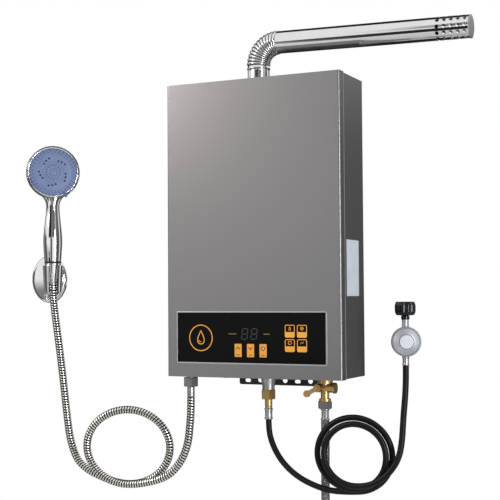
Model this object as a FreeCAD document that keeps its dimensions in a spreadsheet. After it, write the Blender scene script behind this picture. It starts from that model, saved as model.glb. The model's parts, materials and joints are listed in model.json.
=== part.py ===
"""Wall-hung propane water heater with its flue, hand shower, gas hose and regulator.

Frame: millimetres, +Z up, +Y into the wall. The wall is the plane y = 0. The origin is the middle of the
row of upper wall screws, and the front of the heater faces -Y.
"""
import FreeCAD, Part

import math
import os
import re

from FreeCAD import Placement, Rotation, Vector

# ---------------------------------------------------------------------------------------------------------
# Driving dimensions, in millimetres and degrees
# ---------------------------------------------------------------------------------------------------------
SIZES = {
    # casing
    "casing_width": 370.0,
    "casing_height": 580.0,
    "casing_depth": 126.0,
    "sheet_wall": 1.0,
    "cover_return": 20.5,
    "cover_fit": 0.3,
    "cover_edge_radius": 3.6,
    "hanger_drop": 12.0,
    # wall strips
    "strip_thick": 2.0,
    "strip_width": 176.0,
    "strip_height": 39.0,
    "strip_corner": 4.0,
    "strip_edge": 10.0,
    "strip_pitch": 27.5,
    "strip_hole_radius": 5.3,
    "strip_slot_length": 13.0,
    "strip_slot_radius": 3.6,
    # cover screws
    "screw_pitch": 120.0,
    "screw_radius": 2.0,
    "screw_head_radius": 4.0,
    "screw_head_height": 1.2,
    "screw_length": 10.0,
    "screw_play": 0.2,
    # control panel
    "panel_offset": -4.2,
    "panel_rise": 77.5,
    "panel_width": 320.6,
    "panel_height": 102.0,
    "panel_corner": 3.0,
    "bezel_rim": 3.9,
    "bezel_lip": 1.2,
    "bezel_overlap": 1.5,
    "bezel_ledge": 4.0,
    "bezel_ledge_thick": 1.5,
    "panel_fit": 0.3,
    "glass_thick": 3.0,
    "glass_recess": 0.3,
    "board_gap": 4.4,
    "board_thick": 1.6,
    "post_radius": 1.6,
    "key_width": 15.2,
    "key_height": 25.4,
    "key_corner": 1.2,
    "key_pitch": 26.5,
    "key_offset": 2.0,
    "key_drop": 24.2,
    "key_proud": 0.5,
    "key_travel": 0.6,
    "key_fit": 0.3,
    "key_flange": 2.0,
    "key_flange_thick": 1.0,
    "switch_width": 6.0,
    "tile_width": 20.9,
    "tile_height": 24.2,
    "tile_corner": 3.0,
    "tile_thick": 0.4,
    "tile_pitch_across": 25.3,
    "tile_pitch_down": 27.1,
    "tile_offset": 98.0,
    "display_width": 52.0,
    "display_height": 24.0,
    "display_offset": 1.6,
    "display_rise": 8.0,
    # flue
    "flue_offset": -10.5,
    "flue_depth": 65.0,
    "flue_radius": 22.0,
    "flue_wall": 0.6,
    "flue_rise": 36.3,
    "flue_bend": 43.5,
    "flue_fall": 1.35,
    "flue_length": 385.0,
    "flue_fit": 0.3,
    "rib_radius": 1.5,
    "collar_wall": 2.0,
    "collar_flange": 34.0,
    "collar_flange_thick": 2.0,
    "collar_height": 11.0,
    "collar_depth": 9.0,
    "collar_lip": 2.0,
    "vent_hole_radius": 3.6,
    "vent_pitch": 13.0,
    "vent_end": 6.4,
    "cap_plug": 5.0,
    "cap_dome": 2.0,
    # burner, heat exchanger and fan
    "stack_width": 200.0,
    "stack_depth": 100.0,
    "stack_wall": 1.0,
    "hood_height": 80.0,
    "exchanger_height": 90.0,
    "fin_pitch": 12.0,
    "fin_thick": 0.8,
    "fin_height": 60.0,
    "exchanger_tube": 7.0,
    "chamber_height": 180.0,
    "burner_pitch": 24.0,
    "burner_thick": 12.0,
    "burner_depth": 84.0,
    "burner_height": 52.0,
    "manifold_height": 20.0,
    "manifold_depth": 24.0,
    "nozzle_radius": 2.0,
    "fan_radius": 30.0,
    "fan_width": 40.0,
    "fan_blade_thick": 1.5,
    "fan_hub": 8.0,
    "shaft_radius": 3.0,
    "shaft_play": 0.05,
    "motor_radius": 22.0,
    "motor_length": 18.0,
    "motor_bore_depth": 12.0,
    "electrode_radius": 3.0,
    "electrode_pitch": 60.0,
    "electrode_reach": 28.0,
    "electrode_stub": 10.0,
    "electrode_height": 72.0,
    # pipes and valves inside
    "pipe_radius": 6.0,
    "pipe_wall": 1.0,
    "pipe_bend": 20.0,
    "cold_port_drop": 25.0,
    "hot_port_drop": 60.0,
    "sensor_radius": 16.0,
    "sensor_height": 45.0,
    "sensor_rise": 15.0,
    "sensor_chamber": 12.0,
    "sensor_wall": 3.0,
    "turbine_play": 0.6,
    "turbine_hub": 3.0,
    "turbine_pin": 1.2,
    "turbine_pin_play": 0.05,
    "turbine_blade_thick": 1.0,
    "gas_valve_width": 60.0,
    "gas_valve_depth": 70.0,
    "gas_valve_height": 70.0,
    "gas_valve_rise": 32.0,
    "coil_radius": 12.0,
    "coil_length": 24.0,
    "module_width": 50.0,
    "module_depth": 30.0,
    "module_height": 70.0,
    "module_inset": 50.0,
    "module_rise": 120.0,
    # connections under the casing
    "port_depth": 65.0,
    "port_play": 0.3,
    "thread_play": 0.15,
    "hot_inset": 18.0,
    "hot_stub_radius": 8.0,
    "hot_flange_radius": 13.0,
    "hot_flange_thick": 3.0,
    "hot_nut_drop": 5.8,
    "hot_nut_flats": 28.0,
    "hot_nut_height": 18.2,
    "hot_ferrule_radius": 7.6,
    "hot_ferrule_length": 21.0,
    "gas_offset": 6.0,
    "boss_top_radius": 14.7,
    "boss_mid_radius": 13.0,
    "boss_foot_radius": 11.8,
    "boss_mid_drop": 15.0,
    "boss_drop": 25.3,
    "gas_bore": 5.0,
    "gas_nut_flats": 25.3,
    "gas_nut_height": 18.9,
    "gas_tail_radius": 7.4,
    "gas_tail_length": 18.0,
    "gas_ferrule_radius": 7.4,
    "gas_ferrule_collar": 8.5,
    "gas_ferrule_length": 20.8,
    "ferrule_bead": 2.5,
    "cold_offset": 125.2,
    "valve_flange_radius": 15.3,
    "valve_flange_drop": 10.5,
    "valve_barrel_radius": 9.0,
    "valve_barrel_drop": 19.0,
    "valve_barrel_left": 18.0,
    "valve_barrel_right": 18.0,
    "valve_boss_radius": 10.5,
    "valve_boss_length": 4.5,
    "valve_tail_radius": 8.3,
    "valve_tail_drop": 39.6,
    "valve_flare_radius": 11.5,
    "valve_flare_length": 4.6,
    "valve_bore": 6.0,
    "lever_pivot_offset": 9.0,
    "spindle_radius": 4.5,
    "spindle_proud": 1.0,
    "lever_stand_off": 6.0,
    "lever_hub_radius": 7.5,
    "lever_thick": 5.0,
    "lever_width": 8.0,
    "lever_length": 24.0,
    "lever_grip_radius": 6.5,
    "lever_slope": 27.0,
    "lever_play": 0.3,
    "cold_nut_flats": 24.5,
    "cold_nut_height": 14.5,
    "cold_ferrule_radius": 7.2,
    "cold_ferrule_collar": 8.8,
    "cold_ferrule_length": 21.5,
    "end_nut_height": 16.0,
    "end_thread_radius": 9.5,
    "end_thread_depth": 12.0,
    # regulator
    "regulator_turn": 25.0,
    "regulator_radius": 25.5,
    "regulator_depth": 20.0,
    "regulator_flange": 27.5,
    "regulator_flange_thick": 4.0,
    "regulator_dome": 9.0,
    "badge_radius": 12.7,
    "regulator_stem_radius": 6.2,
    "regulator_stem_top": 40.2,
    "regulator_stem_foot": 28.0,
    "neck_radius": 7.7,
    "neck_height": 7.7,
    "handnut_radius": 19.1,
    "handnut_height": 25.0,
    "handnut_thread": 13.0,
    "handnut_depth": 17.0,
    "handnut_flute": 1.6,
    "handnut_play": 0.3,
    "nipple_radius": 4.0,
    "nipple_length": 8.0,
    "regulator_ferrule_radius": 6.7,
    "regulator_ferrule_length": 15.5,
    # hand shower and its wall holder
    "holder_reach": 391.0,
    "holder_rise": 198.5,
    "plate_half_width": 46.0,
    "plate_half_height": 53.0,
    "plate_thick": 12.0,
    "plate_round": 9.0,
    "plate_screw_pitch": 84.0,
    "plate_screw_radius": 2.75,
    "plate_sink": 2.6,
    "cradle_turn": 39.0,
    "cradle_reach": 84.0,
    "cradle_neck_radius": 16.0,
    "cradle_neck_length": 34.0,
    "cradle_radius": 21.5,
    "cradle_foot_radius": 18.5,
    "cradle_above": 28.0,
    "cradle_below": 29.0,
    "cradle_slot": 17.6,
    "cradle_fit": 0.4,
    "cone_top_radius": 17.6,
    "cone_foot_radius": 8.6,
    "cone_length": 42.6,
    "ring_radius": 18.0,
    "ring_height": 3.9,
    "cone_rise": 189.0,
    "head_rise": 428.0,
    "head_radius": 57.4,
    "head_front": 13.0,
    "head_back": 20.0,
    "head_rim": 3.0,
    "face_radius": 50.6,
    "face_depth": 4.5,
    "face_proud": 1.5,
    "face_ledge": 4.0,
    "selector_width": 3.2,
    "selector_play": 0.3,
    "selector_lever_reach": 61.0,
    "selector_lever_width": 7.0,
    "selector_lever_thick": 3.5,
    "selector_lever_gap": 1.0,
    "selector_lever_angle": 62.0,
    "grip_neck_radius": 13.7,
    "grip_belly_radius": 20.3,
    "grip_foot_radius": 18.0,
    "grip_neck_drop": 62.0,
    "grip_belly_drop": 139.0,
    "grip_foot_drop": 192.5,
    "waterway_radius": 6.0,
    "handset_wall": 3.0,
    # flexible hoses
    "shower_hose_diameter": 16.0,
    "gas_hose_diameter": 11.5,
    "cold_hose_diameter": 16.2,
}

# Places that many pieces share, written as expressions of the sizes above
BACK = "(-strip_thick)"
FRONT = "(-strip_thick - casing_depth)"
TOP = "(-hanger_drop)"
BOTTOM = "(-hanger_drop - casing_height)"
CASE_TOP = "(-hanger_drop - sheet_wall - cover_fit)"
CASE_FLOOR = "(-hanger_drop - casing_height + sheet_wall + cover_fit)"
CASE_HALF_WIDTH = "(casing_width / 2 - sheet_wall - cover_fit)"
INSIDE_BACK = "(-strip_thick - sheet_wall)"
PANEL_Z = "(-hanger_drop - casing_height + panel_rise)"
GLASS_FRONT = "(-strip_thick - casing_depth - bezel_lip + glass_recess)"
GLASS_BACK = f"({GLASS_FRONT} + glass_thick)"
LEDGE_BACK = f"({GLASS_BACK} + bezel_ledge_thick)"
BOARD_FRONT = f"({LEDGE_BACK} + board_gap)"
PORT_Y = "(-port_depth)"
HOT_X = "(hot_inset - casing_width / 2)"
MODULE_X = "(module_inset - casing_width / 2)"
FLUE_Y = "(-flue_depth)"
STACK_TOP = f"({CASE_TOP} - collar_depth - collar_lip)"
EXCHANGER_TOP = f"({STACK_TOP} - hood_height)"
CHAMBER_TOP = f"({EXCHANGER_TOP} - exchanger_height)"
CHAMBER_FOOT = f"({CHAMBER_TOP} - chamber_height)"
MANIFOLD_FOOT = f"({CHAMBER_FOOT} - manifold_height)"
STACK_FRONT = f"({INSIDE_BACK} - stack_depth)"
FAN_Z = f"({STACK_TOP} - hood_height / 2)"
FAN_Y = f"({STACK_FRONT} + stack_depth / 2)"
HOT_NUT_TOP = f"({BOTTOM} - hot_nut_drop)"
HOT_NUT_FOOT = f"({HOT_NUT_TOP} - hot_nut_height)"
GAS_BOSS_FOOT = f"({BOTTOM} - boss_drop)"
GAS_NUT_FOOT = f"({GAS_BOSS_FOOT} - gas_nut_height)"
GAS_TAIL_FOOT = f"({GAS_NUT_FOOT} - gas_tail_length)"
VALVE_FLARE_TOP = f"({BOTTOM} - valve_tail_drop)"
VALVE_FOOT = f"({VALVE_FLARE_TOP} - valve_flare_length)"
COLD_NUT_FOOT = f"({VALVE_FOOT} - cold_nut_height)"
SENSOR_FOOT = f"({CASE_FLOOR} + sensor_rise)"
SENSOR_TOP = f"({SENSOR_FOOT} + sensor_height)"
GAS_VALVE_FOOT = f"({CASE_FLOOR} + gas_valve_rise)"
GAS_VALVE_TOP = f"({GAS_VALVE_FOOT} + gas_valve_height)"
PLATE_X = f"({HOT_X} - holder_reach)"
PLATE_Z = f"({BOTTOM} + holder_rise)"
HANDSET_X = f"({PLATE_X} + cradle_reach * sin(cradle_turn))"
HANDSET_Y = "(-cradle_reach * cos(cradle_turn))"
HEAD_Z = f"({BOTTOM} + head_rise)"
CONE_FOOT = f"({BOTTOM} + cone_rise)"

# ---------------------------------------------------------------------------------------------------------
# Routes of the hoses, chosen by hand: straight down from each fitting, then hanging loops.
# Each counts from the middle of its outlet in the casing's floor.
# ---------------------------------------------------------------------------------------------------------
def shower_turn():
    """The one round loop of the shower hose, which drifts forwards as it goes round."""
    points = []
    for step in range(14):
        angle = math.radians(-110 + 29.5 * step)
        turn = 29.5 * step / 360
        reach = 92.6 * math.cos(angle)
        points.append((-156.8 + 13.5 * turn + reach, 13 - 22 * turn + 0.2 * reach,
                       -155.5 + 3.3 * turn + 79.4 * math.sin(angle)))
    return points


def gas_turns():
    """Two round loops of the gas hose, the second inside and in front of the first."""
    points = []
    for step in range(27):
        angle = math.radians(-97 + 28.5 * step)
        turn = 28.5 * step / 360
        inwards = min(max((turn - 0.8) / 0.45, 0), 1)
        size = 0.975 + 0.025 * min(turn / 0.3, 1) - 0.18 * inwards
        points.append((185.8 + 5.3 * turn + 76.8 * size * math.cos(angle), -21 - 14 * turn,
                       -141 + 2 * turn + 71.8 * size * math.sin(angle)))
    return points


SHOWER_ROUTE = [
    (-338.1, -0.3, 188.7), (-337.9, -0.2, 165), (-332, -0.5, 120), (-321, -1, 54), (-310, -2, -16),
    (-301, -2, -88), (-290, -3, -153), (-264, -4, -201), *shower_turn(), (-61, -1, -214), (-27, 1, -183),
    (-8, 1, -143), (-2, 0, -98), (0, 0, -64), (0, 0, -45)]
GAS_ROUTE = [
    (0, 0, -83), (0, 0, -101), (5, -2, -122), (18, -6, -146), (37, -10, -168), (63, -14, -187),
    (95, -18, -201), (134, -20, -211), *gas_turns(), (237, -49, -186), (263, -47, -167), (280, -43, -140),
    (285, -38, -108), (286, -33, -68), (289, -28, -23), (289.8, -26, 10), (289.8, -26, 29)]
COLD_ROUTE = [
    (0, 0, -80.2), (0, 0, -120), (-1, 1, -178), (-2, 2.5, -238), (-1.8, 3.6, -298), (-0.7, 4, -348),
    (-0.7, 4, -380)]

# The pieces at the free ends of the gas hose and the cold hose hang where their hoses end
REGULATOR_AXIS = (f"(gas_offset + {GAS_ROUTE[-1][0]})", f"({PORT_Y} + {GAS_ROUTE[-1][1]})")
REGULATOR_FOOT = f"({BOTTOM} + {GAS_ROUTE[-1][2]} + regulator_ferrule_length)"
REGULATOR_Z = f"({REGULATOR_FOOT} + regulator_stem_foot)"
STEM_TOP = f"({REGULATOR_Z} + regulator_stem_top)"
NECK_TOP = f"({STEM_TOP} + neck_height)"

PREFIX = "Sizes."
WORD = re.compile(r"[A-Za-z_]+")

# ---------------------------------------------------------------------------------------------------------
# The document and its sheet
# ---------------------------------------------------------------------------------------------------------
doc = FreeCAD.newDocument("WaterHeater")
sizes = doc.addObject("Spreadsheet::Sheet", "Sizes")
for row, (alias, number) in enumerate(SIZES.items(), start=1):
    sizes.set(f"A{row}", alias)
    sizes.set(f"B{row}", str(number))
    sizes.setAlias(f"B{row}", alias)
doc.recompute()

nodes = []


def linked(expression):
    """Write every size in the expression as a cell of the sheet."""
    return WORD.sub(lambda word: PREFIX + word.group() if word.group() in SIZES else word.group(),
                    str(expression))


def worth(expression):
    """The number that an expression of sizes has now."""
    return float(sizes.evalExpression(linked(expression)))


def bind(item, links):
    """Bind properties of a document object to expressions of the sizes."""
    for name, expression in links.items():
        item.setExpression(name, linked(expression))


def put(item, x="0", y="0", z="0", turn=None, about=Vector(0, 0, 1)):
    """Bind an object's place, and its turn in degrees about an axis through that place."""
    if turn is not None:
        item.Placement = Placement(Vector(), Rotation(about, worth(turn)))
        item.setExpression("Placement.Rotation.Angle", linked(turn))
    bind(item, {"Placement.Base.x": x, "Placement.Base.y": y, "Placement.Base.z": z})
    return item


def keep(label, item):
    """Name a finished piece, which is written as one node."""
    item.Label = label
    nodes.append(item)
    return item


# ---------------------------------------------------------------------------------------------------------
# Primitives and booleans
# ---------------------------------------------------------------------------------------------------------
def block(name, x, y, z):
    """A box between a low and a high expression on each axis."""
    item = doc.addObject("Part::Box", name)
    bind(item, {"Length": f"{x[1]} - ({x[0]})", "Width": f"{y[1]} - ({y[0]})",
                "Height": f"{z[1]} - ({z[0]})"})
    return put(item, x[0], y[0], z[0])


def middle_block(name, width, depth, height, x="0", y="0", z="0"):
    """A box of a given size about a middle point."""
    across = (f"({x}) - ({width}) / 2", f"({x}) + ({width}) / 2")
    deep = (f"({y}) - ({depth}) / 2", f"({y}) + ({depth}) / 2")
    up = (f"({z}) - ({height}) / 2", f"({z}) + ({height}) / 2")
    return block(name, across, deep, up)


def rod(name, radius, x="0", y="0", z="0", top_radius=None):
    """A cylinder, or a cone, along the axis whose place is given as a low and a high expression."""
    item = doc.addObject("Part::Cylinder" if top_radius is None else "Part::Cone", name)
    if isinstance(x, tuple):
        length, foot, turned = f"{x[1]} - ({x[0]})", (x[0], y, z), Rotation(Vector(0, 1, 0), 90)
    elif isinstance(y, tuple):
        length, foot, turned = f"{y[1]} - ({y[0]})", (x, y[0], z), Rotation(Vector(1, 0, 0), -90)
    else:
        length, foot, turned = f"{z[1]} - ({z[0]})", (x, y, z[0]), Rotation()
    item.Placement = Placement(Vector(), turned)
    if top_radius is None:
        bind(item, {"Radius": radius, "Height": length})
    else:
        bind(item, {"Radius1": radius, "Radius2": top_radius, "Height": length})
    return put(item, *foot)


def joined(name, *pieces):
    """The union of several objects."""
    if len(pieces) == 1:
        return pieces[0]
    item = doc.addObject("Part::MultiFuse", name)
    item.Shapes = list(pieces)
    item.Refine = True
    return item


def without(name, base, *tools):
    """A base with tools cut away."""
    item = doc.addObject("Part::Cut", name)
    item.Base = base
    item.Tool = joined(name + "_tools", *tools)
    return item


def shared(name, *pieces):
    """The common part of several objects."""
    item = doc.addObject("Part::MultiCommon", name)
    item.Shapes = list(pieces)
    return item


def group(name, *pieces):
    """Separate solids in one object, for identical pieces that share a node."""
    item = doc.addObject("Part::Compound", name)
    item.Links = list(pieces)
    return item


# ---------------------------------------------------------------------------------------------------------
# Bodies made from sketches
# ---------------------------------------------------------------------------------------------------------
def new_body(name):
    return doc.addObject("PartDesign::Body", name)


def sketch_on(body, name, role, lift=None):
    """An empty sketch on one of the body's own planes, lifted along the plane's normal if asked."""
    sketch = body.newObject("Sketcher::SketchObject", name)
    plane = next(feature for feature in body.Origin.OriginFeatures if feature.Role == role)
    sketch.AttachmentSupport = (plane, [""])
    sketch.MapMode = "FlatFace"
    if lift is not None:
        bind(sketch, {"AttachmentOffset.Base.z": lift})
    return sketch


def hold_point(sketch, geometry, point, across, up):
    """Fix a point of a sketch at two expressions, or on an axis where one is plain zero."""
    import Sketcher
    for kind, expression, axis in (("DistanceX", across, -2), ("DistanceY", up, -1)):
        if str(expression) == "0":
            sketch.addConstraint(Sketcher.Constraint("PointOnObject", geometry, point, axis))
        else:
            index = sketch.addConstraint(Sketcher.Constraint(kind, -1, 1, geometry, point, worth(expression)))
            sketch.setExpression(f"Constraints[{index}]", linked(expression))


def draw_outline(sketch, points):
    """A closed outline of straight lines through points given as pairs of expressions."""
    import Sketcher
    places = [Vector(worth(across), worth(up), 0) for across, up in points]
    first = sketch.GeometryCount
    count = len(points)
    for start, end in zip(places, places[1:] + places[:1]):
        sketch.addGeometry(Part.LineSegment(start, end), False)
    for step in range(count):
        after = first + (step + 1) % count
        sketch.addConstraint(Sketcher.Constraint("Coincident", first + step, 2, after, 1))
    for step, (across, up) in enumerate(points):
        hold_point(sketch, first + step, 1, across, up)


def draw_circle(sketch, radius, across="0", up="0"):
    """A circle at a place given by expressions."""
    import Sketcher
    centre = Vector(worth(across), worth(up), 0)
    circle = sketch.addGeometry(Part.Circle(centre, Vector(0, 0, 1), worth(radius)), False)
    index = sketch.addConstraint(Sketcher.Constraint("Radius", circle, worth(radius)))
    sketch.setExpression(f"Constraints[{index}]", linked(radius))
    hold_point(sketch, circle, 3, across, up)


def rectangle(width, height, across="0", up="0"):
    """The corners of a rectangle about a middle point."""
    left, right = f"({across}) - ({width}) / 2", f"({across}) + ({width}) / 2"
    low, high = f"({up}) - ({height}) / 2", f"({up}) + ({height}) / 2"
    return [(left, low), (right, low), (right, high), (left, high)]


def grow(body, kind, name, sketch, length, reverse=False):
    """A Pad or a Pocket of a sketch; reverse turns its direction."""
    feature = body.newObject("PartDesign::" + kind, name)
    feature.Profile = sketch
    feature.Reversed = reverse
    bind(feature, {"Length": length})
    doc.recompute()
    return feature


def round_edges(body, name, radius, wanted):
    """Fillet the edges of the body's last feature that the test picks."""
    last = body.Tip
    picked = [f"Edge{number}" for number, edge in enumerate(last.Shape.Edges, start=1) if wanted(edge)]
    feature = body.newObject("PartDesign::Fillet", name)
    feature.Base = (last, picked)
    bind(feature, {"Radius": radius})
    doc.recompute()


def runs_along(edge, axis):
    """Whether a straight edge runs along an axis."""
    if len(edge.Vertexes) != 2:
        return False
    course = edge.Vertexes[1].Point - edge.Vertexes[0].Point
    return abs(abs(course.normalize().dot(axis)) - 1) < 1e-6


def rounded_plate(name, width, height, corner, thick):
    """A plate with rounded corners, square to Y: its back is the plane y = 0 and it grows towards -Y."""
    body = new_body(name)
    sketch = sketch_on(body, name + "_outline", "XZ_Plane")
    draw_outline(sketch, rectangle(width, height))
    grow(body, "Pad", name + "_pad", sketch, thick)
    round_edges(body, name + "_corners", corner, lambda edge: runs_along(edge, Vector(0, 1, 0)))
    return body


def turned(name, profile):
    """A piece turned on a lathe: the profile is a list of radius and height, about the Z axis."""
    body = new_body(name)
    sketch = sketch_on(body, name + "_profile", "XZ_Plane")
    draw_outline(sketch, profile)
    feature = body.newObject("PartDesign::Revolution", name + "_turn")
    feature.Profile = sketch
    feature.ReferenceAxis = (sketch, ["V_Axis"])
    feature.Angle = 360
    doc.recompute()
    return body


def hexagon_nut(name, flats, height, bore):
    """A hexagon nut about the Z axis, standing on z = 0, with its end corners turned off."""
    body = new_body(name)
    sketch = sketch_on(body, name + "_hexagon", "XY_Plane")
    corner = f"({flats}) / sqrt(3)"
    points = [(f"{corner} * cos({60 * step})", f"{corner} * sin({60 * step})") for step in range(6)]
    points[0] = (corner, "0")
    points[3] = (f"-{corner}", "0")
    draw_outline(sketch, points)
    draw_circle(sketch, bore)
    grow(body, "Pad", name + "_pad", sketch, height)
    reach = f"({flats}) * 0.66"
    shoulder = f"({flats}) * 0.5"
    slope = f"({flats}) * 0.08"
    envelope = turned(name + "_envelope", [
        ("0", "0"), (shoulder, "0"), (reach, slope), (reach, f"({height}) - {slope}"),
        (shoulder, height), ("0", height)])
    return shared(name + "_nut", body, envelope)


def sleeve(name, outer, bore, x, y, z):
    """A plain ring or tube about a vertical axis."""
    return without(name, rod(name + "_outer", outer, x, y, z), rod(name + "_bore", bore, x, y, z))


# ---------------------------------------------------------------------------------------------------------
# Casing
# ---------------------------------------------------------------------------------------------------------
SCREW_PLACES = [(side, end) for side in (-1, 1) for end in ("top", "bottom")]


def screw_x(side):
    return f"{side} * screw_pitch / 2"


def screw_hole(name, side, end):
    """The hole for a cover screw through both sheets."""
    upper, lower = (f"{TOP} - screw_length", f"{TOP} + 1"), (f"{BOTTOM} - 1", f"{BOTTOM} + screw_length")
    along = upper if end == "top" else lower
    return rod(name, "screw_radius + screw_play", screw_x(side), f"{FRONT} + cover_return / 2", along)


def make_rear_case():
    """Open-fronted sheet steel box with the holes for the flue, the connections and the cover screws."""
    body = new_body("rear_case_shell")
    outline = sketch_on(body, "rear_case_outline", "XZ_Plane")
    height = "casing_height - 2 * sheet_wall - 2 * cover_fit"
    depth = "casing_depth - cover_edge_radius"
    draw_outline(outline, rectangle(f"2 * {CASE_HALF_WIDTH}", height))
    grow(body, "Pad", "rear_case_pad", outline, depth)
    inside = sketch_on(body, "rear_case_inside", "XZ_Plane", lift="sheet_wall")
    draw_outline(inside, rectangle(f"2 * {CASE_HALF_WIDTH} - 2 * sheet_wall", f"{height} - 2 * sheet_wall"))
    grow(body, "Pocket", "rear_case_hollow", inside, depth, reverse=True)
    put(body, "0", BACK, f"({TOP} + {BOTTOM}) / 2")
    floor = (f"{CASE_FLOOR} - 1", f"{CASE_FLOOR} + sheet_wall + 1")
    holes = [
        rod("flue_opening", "flue_radius + flue_fit + collar_wall + port_play", "flue_offset", FLUE_Y,
            (f"{CASE_TOP} - sheet_wall - 1", f"{CASE_TOP} + 1")),
        rod("hot_opening", "hot_stub_radius + port_play", HOT_X, PORT_Y, floor),
        rod("gas_opening", "boss_foot_radius + port_play", "gas_offset", PORT_Y, floor),
        rod("cold_opening", "valve_tail_radius + port_play", "cold_offset", PORT_Y, floor),
    ]
    holes += [screw_hole(f"case_screw_hole_{end}_{side + 1}", side, end) for side, end in SCREW_PLACES]
    return keep("rear_case", without("rear_case_cut", body, *holes))


def make_front_cover():
    """Sheet steel tray over the front, with rounded upright edges and the panel window."""
    body = new_body("front_cover_shell")
    outline = sketch_on(body, "cover_outline", "XZ_Plane")
    draw_outline(outline, rectangle("casing_width", "casing_height"))
    grow(body, "Pad", "cover_pad", outline, "cover_return")
    inside = sketch_on(body, "cover_inside", "XZ_Plane")
    draw_outline(inside, rectangle("casing_width - 2 * sheet_wall", "casing_height - 2 * sheet_wall"))
    grow(body, "Pocket", "cover_hollow", inside, "cover_return - sheet_wall", reverse=True)

    def upright_at(half_width, depth):
        def wanted(edge):
            middle = edge.CenterOfMass
            return (runs_along(edge, Vector(0, 0, 1)) and abs(abs(middle.x) - worth(half_width)) < 0.01
                    and abs(middle.y + worth(depth)) < 0.01)
        return wanted

    round_edges(body, "cover_inner_edges", "cover_edge_radius - sheet_wall",
                upright_at("casing_width / 2 - sheet_wall", "cover_return - sheet_wall"))
    round_edges(body, "cover_edges", "cover_edge_radius", upright_at("casing_width / 2", "cover_return"))
    window = sketch_on(body, "cover_window", "XZ_Plane")
    draw_outline(window, rectangle("panel_width - 2 * bezel_overlap", "panel_height - 2 * bezel_overlap",
                                   "panel_offset", f"{PANEL_Z} - ({TOP} + {BOTTOM}) / 2"))
    grow(body, "Pocket", "cover_window_cut", window, "2 * cover_return", reverse=True)
    put(body, "0", f"{FRONT} + cover_return", f"({TOP} + {BOTTOM}) / 2")
    holes = [screw_hole(f"cover_screw_hole_{end}_{side + 1}", side, end) for side, end in SCREW_PLACES]
    return keep("front_cover", without("front_cover_cut", body, *holes))


def cover_screw(side, end):
    """One flat-headed screw through the cover's return into the rear case."""
    name = f"screw_{end}_{side + 1}"
    if end == "top":
        head, shank = (TOP, f"{TOP} + screw_head_height"), (f"{TOP} - screw_length", TOP)
    else:
        head, shank = (f"{BOTTOM} - screw_head_height", BOTTOM), (BOTTOM, f"{BOTTOM} + screw_length")
    middle = f"{FRONT} + cover_return / 2"
    return joined(name, rod(name + "_head", "screw_head_radius", screw_x(side), middle, head),
                  rod(name + "_shank", "screw_radius", screw_x(side), middle, shank))


def slot_tool(name, x, z):
    """A level slot through a wall strip."""
    half = "(strip_slot_length / 2 - strip_slot_radius)"
    deep = ("-strip_thick - 1", "1")
    ends = [rod(f"{name}_end_{side + 1}", "strip_slot_radius", f"{x} + {side} * {half}", deep, z)
            for side in (-1, 1)]
    web = block(name + "_web", (f"{x} - {half}", f"{x} + {half}"), deep,
                (f"({z}) - strip_slot_radius", f"({z}) + strip_slot_radius"))
    return [*ends, web]


def make_strip(label, z_low, hole_z, first_round):
    """A steel strip between the casing and the wall, with round holes and slots in turn along it."""
    plate = rounded_plate(label + "_plate", "strip_width", "strip_height", "strip_corner", "strip_thick")
    put(plate, "0", "0", f"{z_low} + strip_height / 2")
    tools = []
    for step in range(6):
        x = f"{step - 2.5} * strip_pitch"
        if step % 2 == first_round:
            tools.append(rod(f"{label}_hole_{step}", "strip_hole_radius", x, ("-strip_thick - 1", "1"),
                             hole_z))
        else:
            slot_z = f"{hole_z} - strip_hole_radius + strip_slot_radius"
            tools += slot_tool(f"{label}_slot_{step}", x, slot_z)
    return keep(label, without(label + "_cut", plate, *tools))


def make_top_hanger():
    """The upper strip, with three round holes for the screws that carry the heater."""
    plate = rounded_plate("top_hanger_plate", "strip_width", "strip_height", "strip_corner", "strip_thick")
    put(plate, "0", "0", "strip_edge - strip_height / 2")
    tools = [rod(f"hanger_hole_{step + 1}", "strip_hole_radius", f"{step} * 2 * strip_pitch",
                 ("-strip_thick - 1", "1"), "0") for step in (-1, 0, 1)]
    return keep("top_hanger", without("top_hanger_cut", plate, *tools))


def make_casing():
    make_rear_case()
    make_front_cover()
    keep("cover_screws", group("cover_screw_set", *[cover_screw(side, end) for side, end in SCREW_PLACES]))
    make_top_hanger()
    hole_z = f"{BOTTOM} - hanger_drop"
    make_strip("bottom_bracket", f"{hole_z} - strip_edge", hole_z, 1)


# ---------------------------------------------------------------------------------------------------------
# Control panel
# ---------------------------------------------------------------------------------------------------------
KEY_STEPS = {"key_up": -1, "key_down": 0, "key_power": 1}


def key_x(step):
    return f"panel_offset + key_offset + {step} * key_pitch"


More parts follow.
